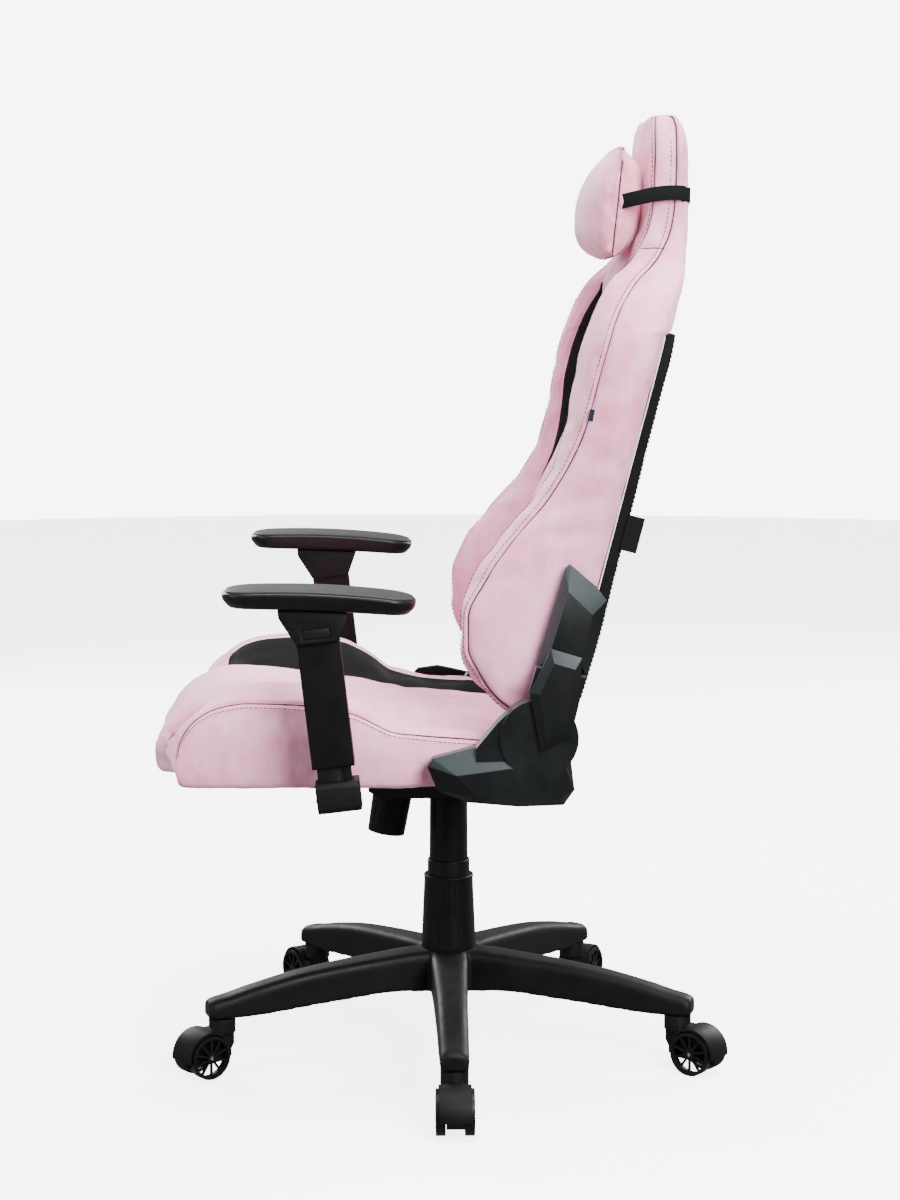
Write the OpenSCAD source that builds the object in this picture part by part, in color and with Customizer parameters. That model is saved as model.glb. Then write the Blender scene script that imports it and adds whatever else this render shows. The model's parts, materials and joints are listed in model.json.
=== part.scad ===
// Gaming chair on a five-legged caster base, in millimetres.
// The origin is on the floor at the axis of the gas lift. The sitter faces -Y, +X is the
// sitter's left hand, and +Z is up.

/* [Base] */
// Radius from the column axis to the end of each leg
base_r = 352; // [335:1:370]
// Width of a leg at its tip
leg_tip_w = 38; // [34:1:42]
// Width of a leg where it leaves the hub
leg_root_w = 52; // [46:1:56]
// Height of the hub's top face above the floor
hub_top = 148; // [146:1:152]

/* [Casters] */
// Diameter of each caster wheel
wheel_d = 60; // [56:1:62]
// Distance from the stem axis to the wheel axle
caster_trail = 34; // [32:1:36]
// Number of spokes in each wheel
wheel_spokes = 10; // [8:1:14]

/* [Lift column] */
// Outer diameter of the gas cylinder
cylinder_d = 50; // [49:0.5:50]
// Diameter of the piston rod
rod_d = 28; // [26:1:28]

/* [Seat] */
// Half the width of the seat over its side bolsters
seat_half_w = 262; // [258:1:268]
// Half the width of the flat middle of the seat
seat_mid_half_w = 158; // [145:1:165]
// Height of the underside of the seat
seat_bottom = 428; // [428:1:429]

/* [Backrest] */
// Half the width of the backrest at the shoulders
shoulder_half_w = 276; // [262:1:280]
// Half the width of the head lobe
head_half_w = 150; // [140:1:156]
// Height of the top of the head lobe
back_top = 1304; // [1300:1:1310]

/* [Armrests] */
// Distance from the chair's middle to each armrest's post
arm_x = 330; // [326:1:336]
// Forward lean of the armrest posts, in degrees
arm_lean = 6.6; // [6:0.1:7]
// Length of an armrest pad
pad_len = 244; // [230:1:250]
// Width of an armrest pad
pad_w = 90; // [80:1:96]

/* [Hidden] */
$fn = 72;

// Base and casters
leg_count = 5;
hub_r = 41;
hub_bottom = 88;
tip_bottom = 77;
tip_top = 106;
stem_r = 5.5;
stem_circle_r = base_r - 21;
wheel_r = wheel_d / 2;
wheel_inner = 12.5;
wheel_outer = 25;
axle_r = 3;
run_gap = 0.05;
hood_gap = 1.4;
hood_wall = 3.4;
hood_half_w = 21;
web_half_w = 11.6;
boss_r = 18.5;
// Direction in which each caster trails, in degrees from +X
caster_heading = [0, 51, 152, 212, -51];

// Lift column, from the hub up
cover_gap = 0.35;
cylinder_r = cylinder_d / 2;
rod_r = rod_d / 2;
cylinder_top = 255;
lower_cover_top = 252;
middle_cover_top = 274;
upper_cover_top = 371;
housing_bottom = 372;
upper_inner = cylinder_r + cover_gap;
upper_outer = upper_inner + 1.9;
middle_inner = upper_outer + cover_gap;
middle_outer = middle_inner + 2;

// Tilt pivot of the seat on the mechanism
tilt_y = -55;
tilt_z = 405;
pin_r = 6;
plate_t = 4;
plate_bottom = seat_bottom - plate_t;
flange_x = 62;

// Tension knob and height lever
knob_r = 27.5;
knob_len = 54;
knob_bolt_r = 6;
knob_lean = 9.5;
knob_y = -79;
knob_top = 366;
lever_y = -20;
lever_z = 387;
lever_pivot_x = -65;
lever_pin_r = 2.5;
lever_rock = 0.95;
lever_end = -236;

// Seat board and the bolts that hold it
board_t = 12;
board_top = seat_bottom + board_t;
board_front = -360;
seat_back_end = 96;
bolt_r = 4;
bolt_x = 80;
bolt_front_y = -130;
bolt_rear_y = 90;

// Recline hinge between seat and backrest
hinge_y = 110;
hinge_z = 500;
hinge_pin_r = 6;
hinge_disc_r = 51;
side_x = 246;
plate_in_x = 247;
bracket_in_x = 251.6;
bracket_t = 4;
cover_in_x = 257;
seat_cover_out_x = 290;
back_cover_out_x = 301;
arm_cover_gap = 0.6;
recline_y = 66;
recline_z = 470;

// Armrest post foot, and its slide and swivel
arm_y = -150.5;
arm_z = 452;
post_half_x = 9;
post_half_y = 21.6;
sleeve_bottom = 23;
pad_y = -170.3;
pad_z = 686;
pad_slope = -2.6;
pad_boss_r = 12;
boss_depth = 7;
// Height of the sleeve's sloping top where it would cross the column
under_pad = 667.5;

// Plane of the back of the upholstery, in front of the rear panel
rear_low = [150, 517];
rear_high = [277, 1015];
rear_panel_t = 12;

// Head pillow and its strap
pillow_y = 222;
pillow_z = 1186;
pillow_lean = -9;
strap_z = 1194;

// ---------------------------------------------------------------- shared shapes

// Points of an arc in the plane, from angle a0 to a1 in n steps
function arc(cx, cy, r, a0, a1, n) =
    [for (i = [0 : n]) [cx + r * cos(a0 + (a1 - a0) * i / n), cy + r * sin(a0 + (a1 - a0) * i / n)]];

// A side-view outline in (y, z), drawn out along X from x0 to x1
module along_x(x0, x1) {
    translate([x0, 0, 0])
        rotate([90, 0, 90])
            linear_extrude(x1 - x0)
                children();
}

// A front-view outline in (x, z), drawn out along Y from y0 to y1
module along_y(y0, y1) {
    translate([0, y1, 0])
        rotate([90, 0, 0])
            linear_extrude(y1 - y0)
                children();
}

// A plain cylinder along X
module bar_x(x0, x1, y, z, r) {
    translate([x0, y, z])
        rotate([0, 90, 0])
            cylinder(h = x1 - x0, r = r);
}

// The same shape on the sitter's left (side = 1) or mirrored to the right (side = -1)
module on_side(side) {
    if (side > 0) {
        children();
    } else {
        mirror([1, 0, 0])
            children();
    }
}

// ---------------------------------------------------------------- base and casters

function leg_top(r) = r < 0.6 * base_r
    ? hub_top - 1 - (r - hub_r) * 13 / (0.6 * base_r - hub_r)
    : hub_top - 14 - (r - 0.6 * base_r) * (hub_top - 14 - tip_top) / (0.33 * base_r);

module leg_side() {
    polygon([
        [20, hub_bottom + 1],
        [0.24 * base_r, 92],
        [0.52 * base_r, 85],
        [0.87 * base_r, tip_bottom],
        [base_r, tip_bottom],
        [base_r, tip_top - 12],
        [base_r - 7, tip_top - 4],
        [0.93 * base_r, tip_top],
        [0.6 * base_r, hub_top - 14],
        [0.3 * base_r, hub_top - 5],
        [20, hub_top - 1]
    ]);
}

module leg_plan() {
    corner = 9;
    polygon(concat(
        [[20, -leg_root_w / 2]],
        arc(base_r - corner, -leg_tip_w / 2 + corner, corner, -90, 0, 6),
        arc(base_r - corner, leg_tip_w / 2 - corner, corner, 0, 90, 6),
        [[20, leg_root_w / 2]]
    ));
}

// Hollows under a leg, with cross ribs left between them
module leg_pockets() {
    pocket_w = 28;
    pocket_len = 70;
    pitch = 78;
    for (i = [0 : 2]) {
        start = 62 + pitch * i;
        translate([start, -pocket_w / 2, 0])
            cube([pocket_len, pocket_w, leg_top(start + pocket_len) - 9]);
    }
}

module star_base() {
    color([0.05, 0.05, 0.055])
        difference() {
            union() {
                translate([0, 0, hub_bottom])
                    cylinder(h = hub_top - hub_bottom, r = hub_r);
                for (i = [0 : leg_count - 1]) {
                    rotate([0, 0, i * 360 / leg_count])
                        intersection() {
                            rotate([90, 0, 0])
                                linear_extrude(80, center = true)
                                    leg_side();
                            linear_extrude(200)
                                leg_plan();
                        }
                }
            }
            for (i = [0 : leg_count - 1]) {
                rotate([0, 0, i * 360 / leg_count]) {
                    leg_pockets();
                    translate([stem_circle_r, 0, tip_bottom - 1])
                        cylinder(h = 24, r = stem_r);
                }
            }
            translate([0, 0, hub_bottom - 1])
                cylinder(h = 80, r = cylinder_r);
        }
}

module caster_stems() {
    color([0.55, 0.55, 0.56])
        for (i = [0 : leg_count - 1]) {
            rotate([0, 0, i * 360 / leg_count])
                translate([stem_circle_r, 0, 58])
                    cylinder(h = tip_bottom + 23 - 58, r = stem_r);
        }
}

// Puts a caster's own frame (stem axis at x = 0, trailing towards +x) at leg number i
module at_caster(i) {
    rotate([0, 0, (i - 1) * 360 / leg_count])
        translate([stem_circle_r, 0, 0])
            rotate([0, 0, caster_heading[i - 1] - (i - 1) * 360 / leg_count])
                children();
}

// Ring sector over the wheels, from just below the axle on the trailing side to the stem
module fender_outline() {
    inner = wheel_r + hood_gap;
    outer = inner + hood_wall;
    difference() {
        intersection() {
            translate([caster_trail, wheel_r])
                circle(r = outer);
            translate([-4, wheel_r - 4])
                square([80, 60]);
        }
        translate([caster_trail, wheel_r])
            circle(r = inner);
    }
}

module web_outline() {
    outer = wheel_r + hood_gap + hood_wall;
    intersection() {
        union() {
            translate([caster_trail, wheel_r])
                circle(r = outer);
            polygon([[-12, 40], [-2, 24], [30, 24], [30, 64], [-12, 64]]);
        }
        translate([-12, 18])
            square([100, 60]);
    }
}

module caster_hood(i) {
    color([0.06, 0.06, 0.065])
        at_caster(i)
            difference() {
                union() {
                    along_y(-hood_half_w, hood_half_w)
                        fender_outline();
                    along_y(-web_half_w, web_half_w)
                        web_outline();
                    difference() {
                        translate([0, 0, 56])
                            cylinder(h = tip_bottom - 0.6 - 56, r = boss_r);
                        translate([caster_trail, 60, wheel_r])
                            rotate([90, 0, 0])
                                cylinder(h = 120, r = wheel_r + hood_gap);
                    }
                }
                translate([0, 0, 50])
                    cylinder(h = 60, r = stem_r + run_gap);
                translate([caster_trail, 60, wheel_r])
                    rotate([90, 0, 0])
                        cylinder(h = 120, r = axle_r);
            }
}

module caster_axle(i) {
    color([0.6, 0.6, 0.62])
        at_caster(i)
            translate([caster_trail, wheel_outer - 1.5, wheel_r])
                rotate([90, 0, 0])
                    cylinder(h = 2 * wheel_outer - 3, r = axle_r);
}

// One window between two spokes, in the plane of the wheel
module spoke_window(k) {
    spoke_half = 1.5;
    root = 8;
    rim = wheel_r - 5.2;
    step = 180 / wheel_spokes;
    root_a = asin(spoke_half / root);
    rim_a = asin(spoke_half / rim);
    rotate([0, 0, k * 2 * step])
        polygon(concat(
            arc(0, 0, rim, -step + rim_a, step - rim_a, 4),
            arc(0, 0, root, step - root_a, -step + root_a, 2)
        ));
}

module wheel_face() {
    difference() {
        circle(r = wheel_r - 1);
        circle(r = axle_r + run_gap);
        for (k = [0 : wheel_spokes - 1]) {
            spoke_window(k);
        }
    }
}

// One wheel, its inner side at y = 0: a wide rim and hub joined by a thin spoked disc
module wheel() {
    width = wheel_outer - wheel_inner;
    disc_t = 3;
    recess = 2;
    rim_t = 4;
    hub_r = 7.5;
    rotate([-90, 0, 0]) {
        difference() {
            cylinder(h = width, r = wheel_r);
            translate([0, 0, -1])
                cylinder(h = width + 2, r = wheel_r - rim_t);
        }
        difference() {
            cylinder(h = width, r = hub_r);
            translate([0, 0, -1])
                cylinder(h = width + 2, r = axle_r + run_gap);
        }
        translate([0, 0, width - disc_t - recess])
            linear_extrude(disc_t)
                wheel_face();
    }
}

module caster_wheels(i) {
    color([0.09, 0.09, 0.1])
        at_caster(i)
            translate([caster_trail, 0, wheel_r])
                for (side = [0, 1]) {
                    mirror([0, side, 0])
                        translate([0, wheel_inner, 0])
                            wheel();
                }
}

// ---------------------------------------------------------------- lift column

module gas_cylinder() {
    color([0.12, 0.12, 0.13])
        difference() {
            translate([0, 0, hub_bottom - 6])
                cylinder(h = cylinder_top - hub_bottom + 6, r = cylinder_r);
            translate([0, 0, 98])
                cylinder(h = 200, r = rod_r + run_gap);
        }
}

module piston_rod() {
    color([0.75, 0.75, 0.77])
        translate([0, 0, 178])
            cylinder(h = 400 - 178, r = rod_r);
}

// A tapered tube with a lip at its top: wall radii run from the bottom to the top
module cover_shell(z0, z1, outer0, outer1, inner, lip_h, lip) {
    rotate_extrude()
        polygon([
            [inner, z0],
            [outer0, z0],
            [outer1, z1 - lip_h],
            [outer1 + lip, z1 - lip_h],
            [outer1 + lip, z1 - 1],
            [outer1 + lip - 1, z1],
            [inner, z1]
        ]);
}

module cover_lower() {
    color([0.05, 0.05, 0.055])
        cover_shell(hub_top, lower_cover_top, 38.5, 34.2, middle_outer + cover_gap, 4, 0.8);
}

module cover_middle() {
    color([0.055, 0.055, 0.06])
        cover_shell(195, middle_cover_top, middle_outer, middle_outer, middle_inner, 10, 0);
}

module cover_upper() {
    color([0.05, 0.05, 0.055])
        cover_shell(240, upper_cover_top, upper_outer, upper_outer - 0.9, upper_inner, 3, 0);
}

// ---------------------------------------------------------------- mechanism

module mech_housing() {
    half_w = flange_x - 4;
    color([0.07, 0.07, 0.075])
        difference() {
            along_x(-half_w, half_w)
                polygon([
                    [-96, housing_bottom],
                    [30, housing_bottom],
                    [44, 377],
                    [44, 399],
                    [-20, 403],
                    [-40, 417],
                    [-72, 417],
                    [-112, 410],
                    [-112, 382]
                ]);
            translate([0, 0, housing_bottom - 1])
                cylinder(h = 60, r = rod_r + run_gap);
            bar_x(-100, 100, tilt_y, tilt_z, pin_r + run_gap);
            // Seat for the tension bolt
            at_knob()
                translate([0, 0, -10])
                    cylinder(h = 30, r = knob_bolt_r + run_gap);
        }
}

// The knob's frame: its top at z = 0, its axis leaning forward at the bottom
module at_knob() {
    translate([0, knob_y, knob_top])
        rotate([-knob_lean, 0, 0])
            children();
}

module tension_knob() {
    scallops = 14;
    color([0.05, 0.05, 0.055])
        at_knob()
            difference() {
                union() {
                    translate([0, 0, -knob_len])
                        cylinder(h = knob_len, r1 = knob_r - 1.5, r2 = knob_r);
                    cylinder(h = 19, r = knob_bolt_r);
                }
                for (k = [0 : scallops - 1]) {
                    rotate([0, 0, k * 360 / scallops])
                        translate([knob_r + 2.4, 0, -knob_len - 1])
                            cylinder(h = 30, r = 4, $fn = 24);
                }
            }
}

module lever_bushing() {
    color([0.1, 0.1, 0.11])
        difference() {
            translate([-72, lever_y - 11, lever_z - 11])
                cube([13.6, 22, 22]);
            // Wide enough for the lever's rod to rock on its pin
            bar_x(-90, -50, lever_y, lever_z, 5 + lever_rock);
            translate([lever_pivot_x, 0, lever_z])
                along_y(lever_y - 12, lever_y + 12)
                    circle(r = lever_pin_r + run_gap);
        }
}

module height_lever() {
    color([0.06, 0.06, 0.065])
        union() {
            bar_x(lever_end + 40, -60, lever_y, lever_z, 5);
            translate([lever_pivot_x, 0, lever_z])
                along_y(lever_y - 10, lever_y + 10)
                    circle(r = lever_pin_r);
            translate([lever_end, lever_y, 0])
                along_y(-17, 17)
                    polygon([
                        [0, lever_z - 1],
                        [6, lever_z - 5],
                        [60, lever_z - 6],
                        [72, lever_z - 3],
                        [72, lever_z + 3],
                        [60, lever_z + 6],
                        [14, lever_z + 5],
                        [0, lever_z + 3]
                    ]);
        }
}

module bolt_holes(r) {
    for (x = [-bolt_x, bolt_x]) {
        for (y = [bolt_front_y, bolt_rear_y]) {
            translate([x, y, plate_bottom - 10])
                cylinder(h = 60, r = r);
        }
    }
}

module seat_plate() {
    color([0.08, 0.08, 0.085])
        difference() {
            union() {
                translate([-100, -150, plate_bottom])
                    cube([200, 260, plate_t]);
                for (side = [-1, 1]) {
                    along_x(side > 0 ? flange_x : -flange_x - 4, side > 0 ? flange_x + 4 : -flange_x)
                        polygon([
                            [-95, plate_bottom + 0.5],
                            [-72, tilt_z - 12],
                            [-38, tilt_z - 12],
                            [-30, plate_bottom + 0.5]
                        ]);
                }
            }
            bar_x(-100, 100, tilt_y, tilt_z, pin_r);
            bolt_holes(bolt_r);
        }
}

module tilt_pin() {
    color([0.6, 0.6, 0.62])
        bar_x(-flange_x - 8, flange_x + 8, tilt_y, tilt_z, pin_r);
}

module seat_bolts() {
    color([0.2, 0.2, 0.21])
        for (x = [-bolt_x, bolt_x]) {
            for (y = [bolt_front_y, bolt_rear_y]) {
                translate([x, y, plate_bottom - 5])
                    cylinder(h = 5, r = 7.5, $fn = 6);
                translate([x, y, plate_bottom - 0.1])
                    cylinder(h = plate_t + board_t - 1, r = bolt_r);
            }
        }
}

// ---------------------------------------------------------------- seat

module seat_frame() {
    color([0.55, 0.42, 0.28])
        difference() {
            translate([-215, board_front, seat_bottom])
                cube([430, seat_back_end - 1 - board_front, board_t]);
            bolt_holes(bolt_r);
        }
}

// Outline of the middle of the seat, seen from the side
module seat_mid_side() {
    polygon([
        [board_front - 0.5, board_top + 0.3],
        [board_front - 0.5, seat_bottom + 1],
        [-386, seat_bottom + 1],
        [-399, 438],
        [-405, 456],
        [-401, 480],
        [-386, 504],
        [-362, 522],
        [-335, 531],
        [-300, 531],
        [-218, 524],
        [-152, 515],
        [-60, 503],
        [46, 492],
        [seat_back_end, 487],
        [seat_back_end, board_top + 0.3]
    ]);
}

module seat_cushion() {
    color([0.88, 0.77, 0.8])
        along_x(-seat_mid_half_w, seat_mid_half_w)
            seat_mid_side();
}

// Outline of a seat bolster, seen from the side; drop lowers its top for the outer slices
module bolster_side(drop) {
    polygon([
        [-352, seat_bottom + 1],
        [-361, 456],
        [-359, 487],
        [-350, 510 - drop],
        [-331, 530 - drop],
        [-300, 551 - drop],
        [-258, 561 - drop],
        [-215, 562 - drop],
        [-154, 556 - drop],
        [-122, 541 - drop],
        [-80, 513 - drop],
        [-43, 503 - drop],
        [37, 495 - drop],
        [seat_back_end, 489 - drop],
        [seat_back_end, seat_bottom + 1]
    ]);
}

module seat_bolster() {
    inner = seat_mid_half_w + 0.5;
    outer_slice = seat_half_w - 20;
    difference() {
        union() {
            along_x(inner, inner + 22)
                bolster_side(12);
            along_x(inner + 22, outer_slice)
                bolster_side(0);
            intersection() {
                along_x(outer_slice, seat_half_w)
                    bolster_side(18);
                linear_extrude(700)
                    polygon([
                        [outer_slice - 1, -400],
                        [seat_half_w - 6, -362],
                        [seat_half_w, -340],
                        [seat_half_w, -70],
                        [side_x - 1, -42],
                        [side_x - 1, 200],
                        [outer_slice - 1, 200]
                    ]);
            }
        }
        // Room for the seat board
        translate([0, board_front - 0.5, seat_bottom - 10])
            cube([215.5, 600, board_t + 10.3]);
    }
}

module arm_bracket() {
    bracket_t_mm = 6;
    color([0.1, 0.1, 0.11])
        translate([130, arm_y - 26, seat_bottom - bracket_t_mm])
            cube([arm_x - 16.5 - 130, 52, bracket_t_mm]);
}

// ---------------------------------------------------------------- armrests

// The leaning frame of an armrest: the post's foot at the origin, the post along z
module at_arm() {
    translate([arm_x, arm_y, arm_z])
        rotate([arm_lean, 0, 0])
            children();
}

module arm_boot() {
    color([0.06, 0.06, 0.065])
        at_arm()
            difference() {
                along_y(-26, 30)
                    polygon([
                        [-16, -34],
                        [20, -34],
                        [25, -28],
                        [25, 0],
                        [20, 5],
                        [-16, 5]
                    ]);
                translate([-post_half_x - 0.1, -post_half_y - 0.1, -24])
                    cube([2 * post_half_x + 0.2, 2 * post_half_y + 0.2, 60]);
            }
}

module arm_post() {
    color([0.09, 0.09, 0.1])
        at_arm()
            difference() {
                translate([-post_half_x, -post_half_y, -24])
                    cube([2 * post_half_x, 2 * post_half_y, 144]);
                // Adjustment slot with its steel strip left in the middle
                translate([post_half_x - 3, 4, 0])
                    cube([4, 9, 110]);
            }
}

module arm_sleeve() {
    color([0.06, 0.06, 0.065])
        difference() {
            intersection() {
                at_arm()
                    union() {
                        along_y(-27, 27)
                            polygon([
                                [-16, sleeve_bottom],
                                [16, sleeve_bottom],
                                [18, sleeve_bottom + 6],
                                [18, 188],
                                [27, 206],
                                [27, 240],
                                [-27, 240],
                                [-27, 206],
                                [-18, 188],
                                [-18, sleeve_bottom + 6]
                            ]);
                        along_x(-27, 27)
                            polygon([
                                [-27, 185],
                                [-45, 222],
                                [-45, 240],
                                [45, 240],
                                [45, 222],
                                [27, 185]
                            ]);
                    }
                // The top is cut to the slope of the pad
                translate([0, -400, 0])
                    along_x(arm_x - 60, arm_x + 60)
                        polygon([[0, 0], [400, 0], [400, under_pad], [0, under_pad + 400 * tan(-pad_slope)]]);
            }
            at_arm() {
                translate([-post_half_x - 0.3, -post_half_y - 0.3, 0])
                    cube([2 * post_half_x + 0.6, 2 * post_half_y + 0.6, 184]);
                // Recess of the height button
                translate([12, -17.6, 190.4])
                    cube([30, 35.2, 13.2]);
            }
            pad_boss(run_gap);
        }
}

module arm_button() {
    color([0.1, 0.1, 0.11])
        at_arm()
            translate([13 + 4.4, -17.2, 190.8])
                cube([9.5, 34.4, 12.4]);
}

module pad_outline() {
    end_r = 34;
    half_l = pad_len / 2;
    half_w = pad_w / 2;
    polygon(concat(
        arc(half_w - end_r, half_l - end_r, end_r, 0, 90, 6),
        arc(-half_w + end_r, half_l - end_r, end_r, 90, 180, 6),
        arc(-half_w + end_r, -half_l + end_r, end_r, 180, 270, 6),
        arc(half_w - end_r, -half_l + end_r, end_r, 270, 360, 6)
    ));
}

// The round boss that the pad turns on, or its socket when gap is above 0
module pad_boss(gap) {
    translate([arm_x, pad_y, pad_z])
        rotate([pad_slope, 0, 0])
            translate([0, 0, -boss_depth - 10 - 2 * gap])
                cylinder(h = boss_depth + 2 * gap, r = pad_boss_r + gap);
}

// Pad with bevelled edges and a slight crown, on its round boss
module arm_pad() {
    color([0.1, 0.1, 0.105])
        union() {
            translate([arm_x, pad_y, pad_z])
                rotate([pad_slope, 0, 0])
                    hull() {
                        translate([0, 0, -10.4])
                            linear_extrude(1)
                                scale([0.84, 0.9])
                                    pad_outline();
                        translate([0, 0, 2])
                            linear_extrude(7)
                                pad_outline();
                        translate([0, 0, 10])
                            linear_extrude(3.5)
                                scale([0.9, 0.96])
                                    pad_outline();
                    }
            pad_boss(0);
        }
}

// ---------------------------------------------------------------- recline hinge

module hinge_disc(r) {
    translate([hinge_y, hinge_z])
        circle(r = r);
}

module hinge_plate() {
    color([0.15, 0.15, 0.16])
        along_x(plate_in_x, plate_in_x + 4)
            difference() {
                union() {
                    hinge_disc(28);
                    polygon([[-10, seat_bottom + 2], [150, seat_bottom + 2], [137, hinge_z], [83, hinge_z - 4], [-10, 462]]);
                }
                hinge_disc(hinge_pin_r);
            }
}

module hinge_bolts() {
    color([0.62, 0.62, 0.64])
        for (side = [-1, 1]) {
            on_side(side)
                bar_x(plate_in_x, cover_in_x - 0.5, hinge_y, hinge_z, hinge_pin_r);
        }
}

// Seat-side cover: a faceted body under a round collar, one shell on each side
module seat_hinge_cover() {
    color([0.08, 0.09, 0.095])
        difference() {
            union() {
                hull() {
                    along_x(cover_in_x, cover_in_x + 18)
                        polygon([
                            [-34, 462],
                            [-27, 472],
                            [29, 487],
                            [150, 487],
                            [157, 430],
                            [143, 410],
                            [85, 408],
                            [18, 414],
                            [-21, 430]
                        ]);
                    along_x(cover_in_x + 18, seat_cover_out_x)
                        polygon([[4, 452], [66, 452], [140, 470], [140, 424], [88, 419], [30, 424]]);
                }
                along_x(cover_in_x, seat_cover_out_x - 4)
                    polygon([[29, 470], [29, 487], [57, 521], [75, 538], [110, 520], [110, 470]]);
                along_x(cover_in_x, seat_cover_out_x)
                    hinge_disc(hinge_disc_r);
            }
            // Hollow behind the skin
            along_x(cover_in_x - 1, seat_cover_out_x - 8)
                union() {
                    hinge_disc(hinge_disc_r - 4);
                    polygon([[30, 440], [130, 436], [140, 470], [60, 476], [30, 470]]);
                }
        }
}

module back_cover_facets() {
    // Upper shield: wide foot, peak at the top rear
    hull() {
        along_x(cover_in_x, cover_in_x + 10)
            polygon([[104, 585], [144, 718], [150, 723], [185, 693], [197, 676], [186, 624], [172, 575]]);
        along_x(cover_in_x + 10, back_cover_out_x - 16)
            polygon([[122, 605], [147, 690], [178, 660], [164, 596]]);
    }
    // Lower arm, outboard of the collar
    hull() {
        along_x(seat_cover_out_x + arm_cover_gap, back_cover_out_x - 4)
            polygon([[97, 561], [124, 618], [164, 606], [160, 545], [150, 503], [112, 485]]);
        along_x(back_cover_out_x - 4, back_cover_out_x)
            polygon([[110, 560], [128, 600], [155, 592], [148, 552], [142, 512], [118, 500]]);
    }
    // Step that joins the two, outside the collar's sweep
    hull() {
        along_x(cover_in_x, back_cover_out_x - 8)
            polygon([[96, 561], [106, 594], [170, 580], [160, 548], [140, 566]]);
    }
}

module back_hinge_cover() {
    color([0.07, 0.08, 0.085])
        difference() {
            back_cover_facets();
            // The collar of the seat-side cover turns inside this
            along_x(cover_in_x - 1, seat_cover_out_x + arm_cover_gap)
                hinge_disc(hinge_disc_r + arm_cover_gap);
            // Channel for the steel bracket behind
            along_x(cover_in_x - 1, cover_in_x + 4)
                polygon([[118, 500], [112, 570], [140, 690], [165, 680], [155, 560], [140, 500]]);
        }
}

module recline_lever() {
    lever_x = -seat_cover_out_x - 0.8;
    color([0.06, 0.06, 0.065])
        along_x(lever_x - 11, lever_x)
            union() {
                translate([recline_y, recline_z])
                    circle(r = 15);
                polygon([
                    [recline_y, recline_z - 13],
                    [recline_y, recline_z + 14],
                    [10, 497],
                    [-10, 501],
                    [-40, 497],
                    [-46, 491],
                    [-40, 484],
                    [0, 482]
                ]);
            }
}

// ---------------------------------------------------------------- backrest

// Right half of the backrest's front-view outline, from the bottom up, in (x, z)
function back_half_points() = [
    [side_x - 1, 400],
    [side_x - 1, 735],
    [seat_half_w - 4, 800],
    [shoulder_half_w - 3, 900],
    [shoulder_half_w, 960],
    [shoulder_half_w - 10, 1010],
    [shoulder_half_w - 42, 1050],
    [head_half_w + 28, 1080],
    [head_half_w + 4, 1108],
    [head_half_w, 1140],
    [head_half_w, 1235],
    [head_half_w - 8, 1265],
    [head_half_w - 34, back_top - 14],
    [head_half_w - 75, back_top - 2]
];

// The whole outline: the half above, then its mirror image from the top down
module back_front() {
    half = back_half_points();
    count = len(half);
    polygon(concat(half, [for (i = [1 : count]) [-half[count - i][0], half[count - i][1]]]));
}

// Middle of the backrest and the head lobe, seen from the side
module back_mid_side() {
    polygon([
        [97, 504],
        [90, 600],
        [96, 680],
        [134, 800],
        [178, 900],
        [213, 1000],
        [235, 1080],
        [248, 1140],
        [250, 1180],
        [246, 1248],
        [250, 1272],
        [264, 1292],
        [285, back_top],
        [297, back_top - 6],
        [309, 1278],
        [314, 1240],
        [313, 1132],
        [304, 1050],
        [297, 1018],
        rear_high,
        rear_low,
        [128, 503]
    ]);
}

module back_cushion() {
    color([0.9, 0.79, 0.82])
        intersection() {
            along_x(-head_half_w, head_half_w)
                back_mid_side();
            along_y(0, 400)
                back_front();
        }
}

module back_bolster_side(inset) {
    polygon([
        [66 + inset, 526],
        [30 + inset, 573],
        [14 + inset, 606],
        [11 + inset, 640],
        [20 + inset, 668],
        [36 + inset, 700],
        [68 + inset, 745],
        [108 + inset, 788],
        [134 + inset, 829],
        [146 + inset, 870],
        [150 + inset, 905],
        [163 + inset, 970],
        [183 + inset, 1022],
        [214 + inset, 1070],
        [245, 1110],
        [290, 1110],
        [304, 1050],
        [297, 1018],
        rear_high,
        rear_low,
        [128, 507],
        [100, 507]
    ]);
}

module back_bolster() {
    inner = head_half_w + 0.5;
    intersection() {
        union() {
            along_x(inner, inner + 20)
                back_bolster_side(22);
            along_x(inner + 20, side_x - 18)
                back_bolster_side(0);
            along_x(side_x - 18, shoulder_half_w)
                back_bolster_side(14);
        }
        along_y(0, 400)
            back_front();
    }
}

module rear_panel() {
    top = 1015;
    color([0.05, 0.05, 0.055])
        intersection() {
            along_x(-235, 235)
                polygon([
                    [rear_low[0] + 0.6, rear_low[1]],
                    [rear_high[0] + 0.6, top],
                    [rear_high[0] + rear_panel_t, top],
                    [rear_low[0] + rear_panel_t, rear_low[1]]
                ]);
            along_y(0, 400)
                polygon([[-215, 500], [215, 500], [228, 800], [226, 960], [206, top + 5], [-206, top + 5], [-226, 960], [-228, 800]]);
        }
}

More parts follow.
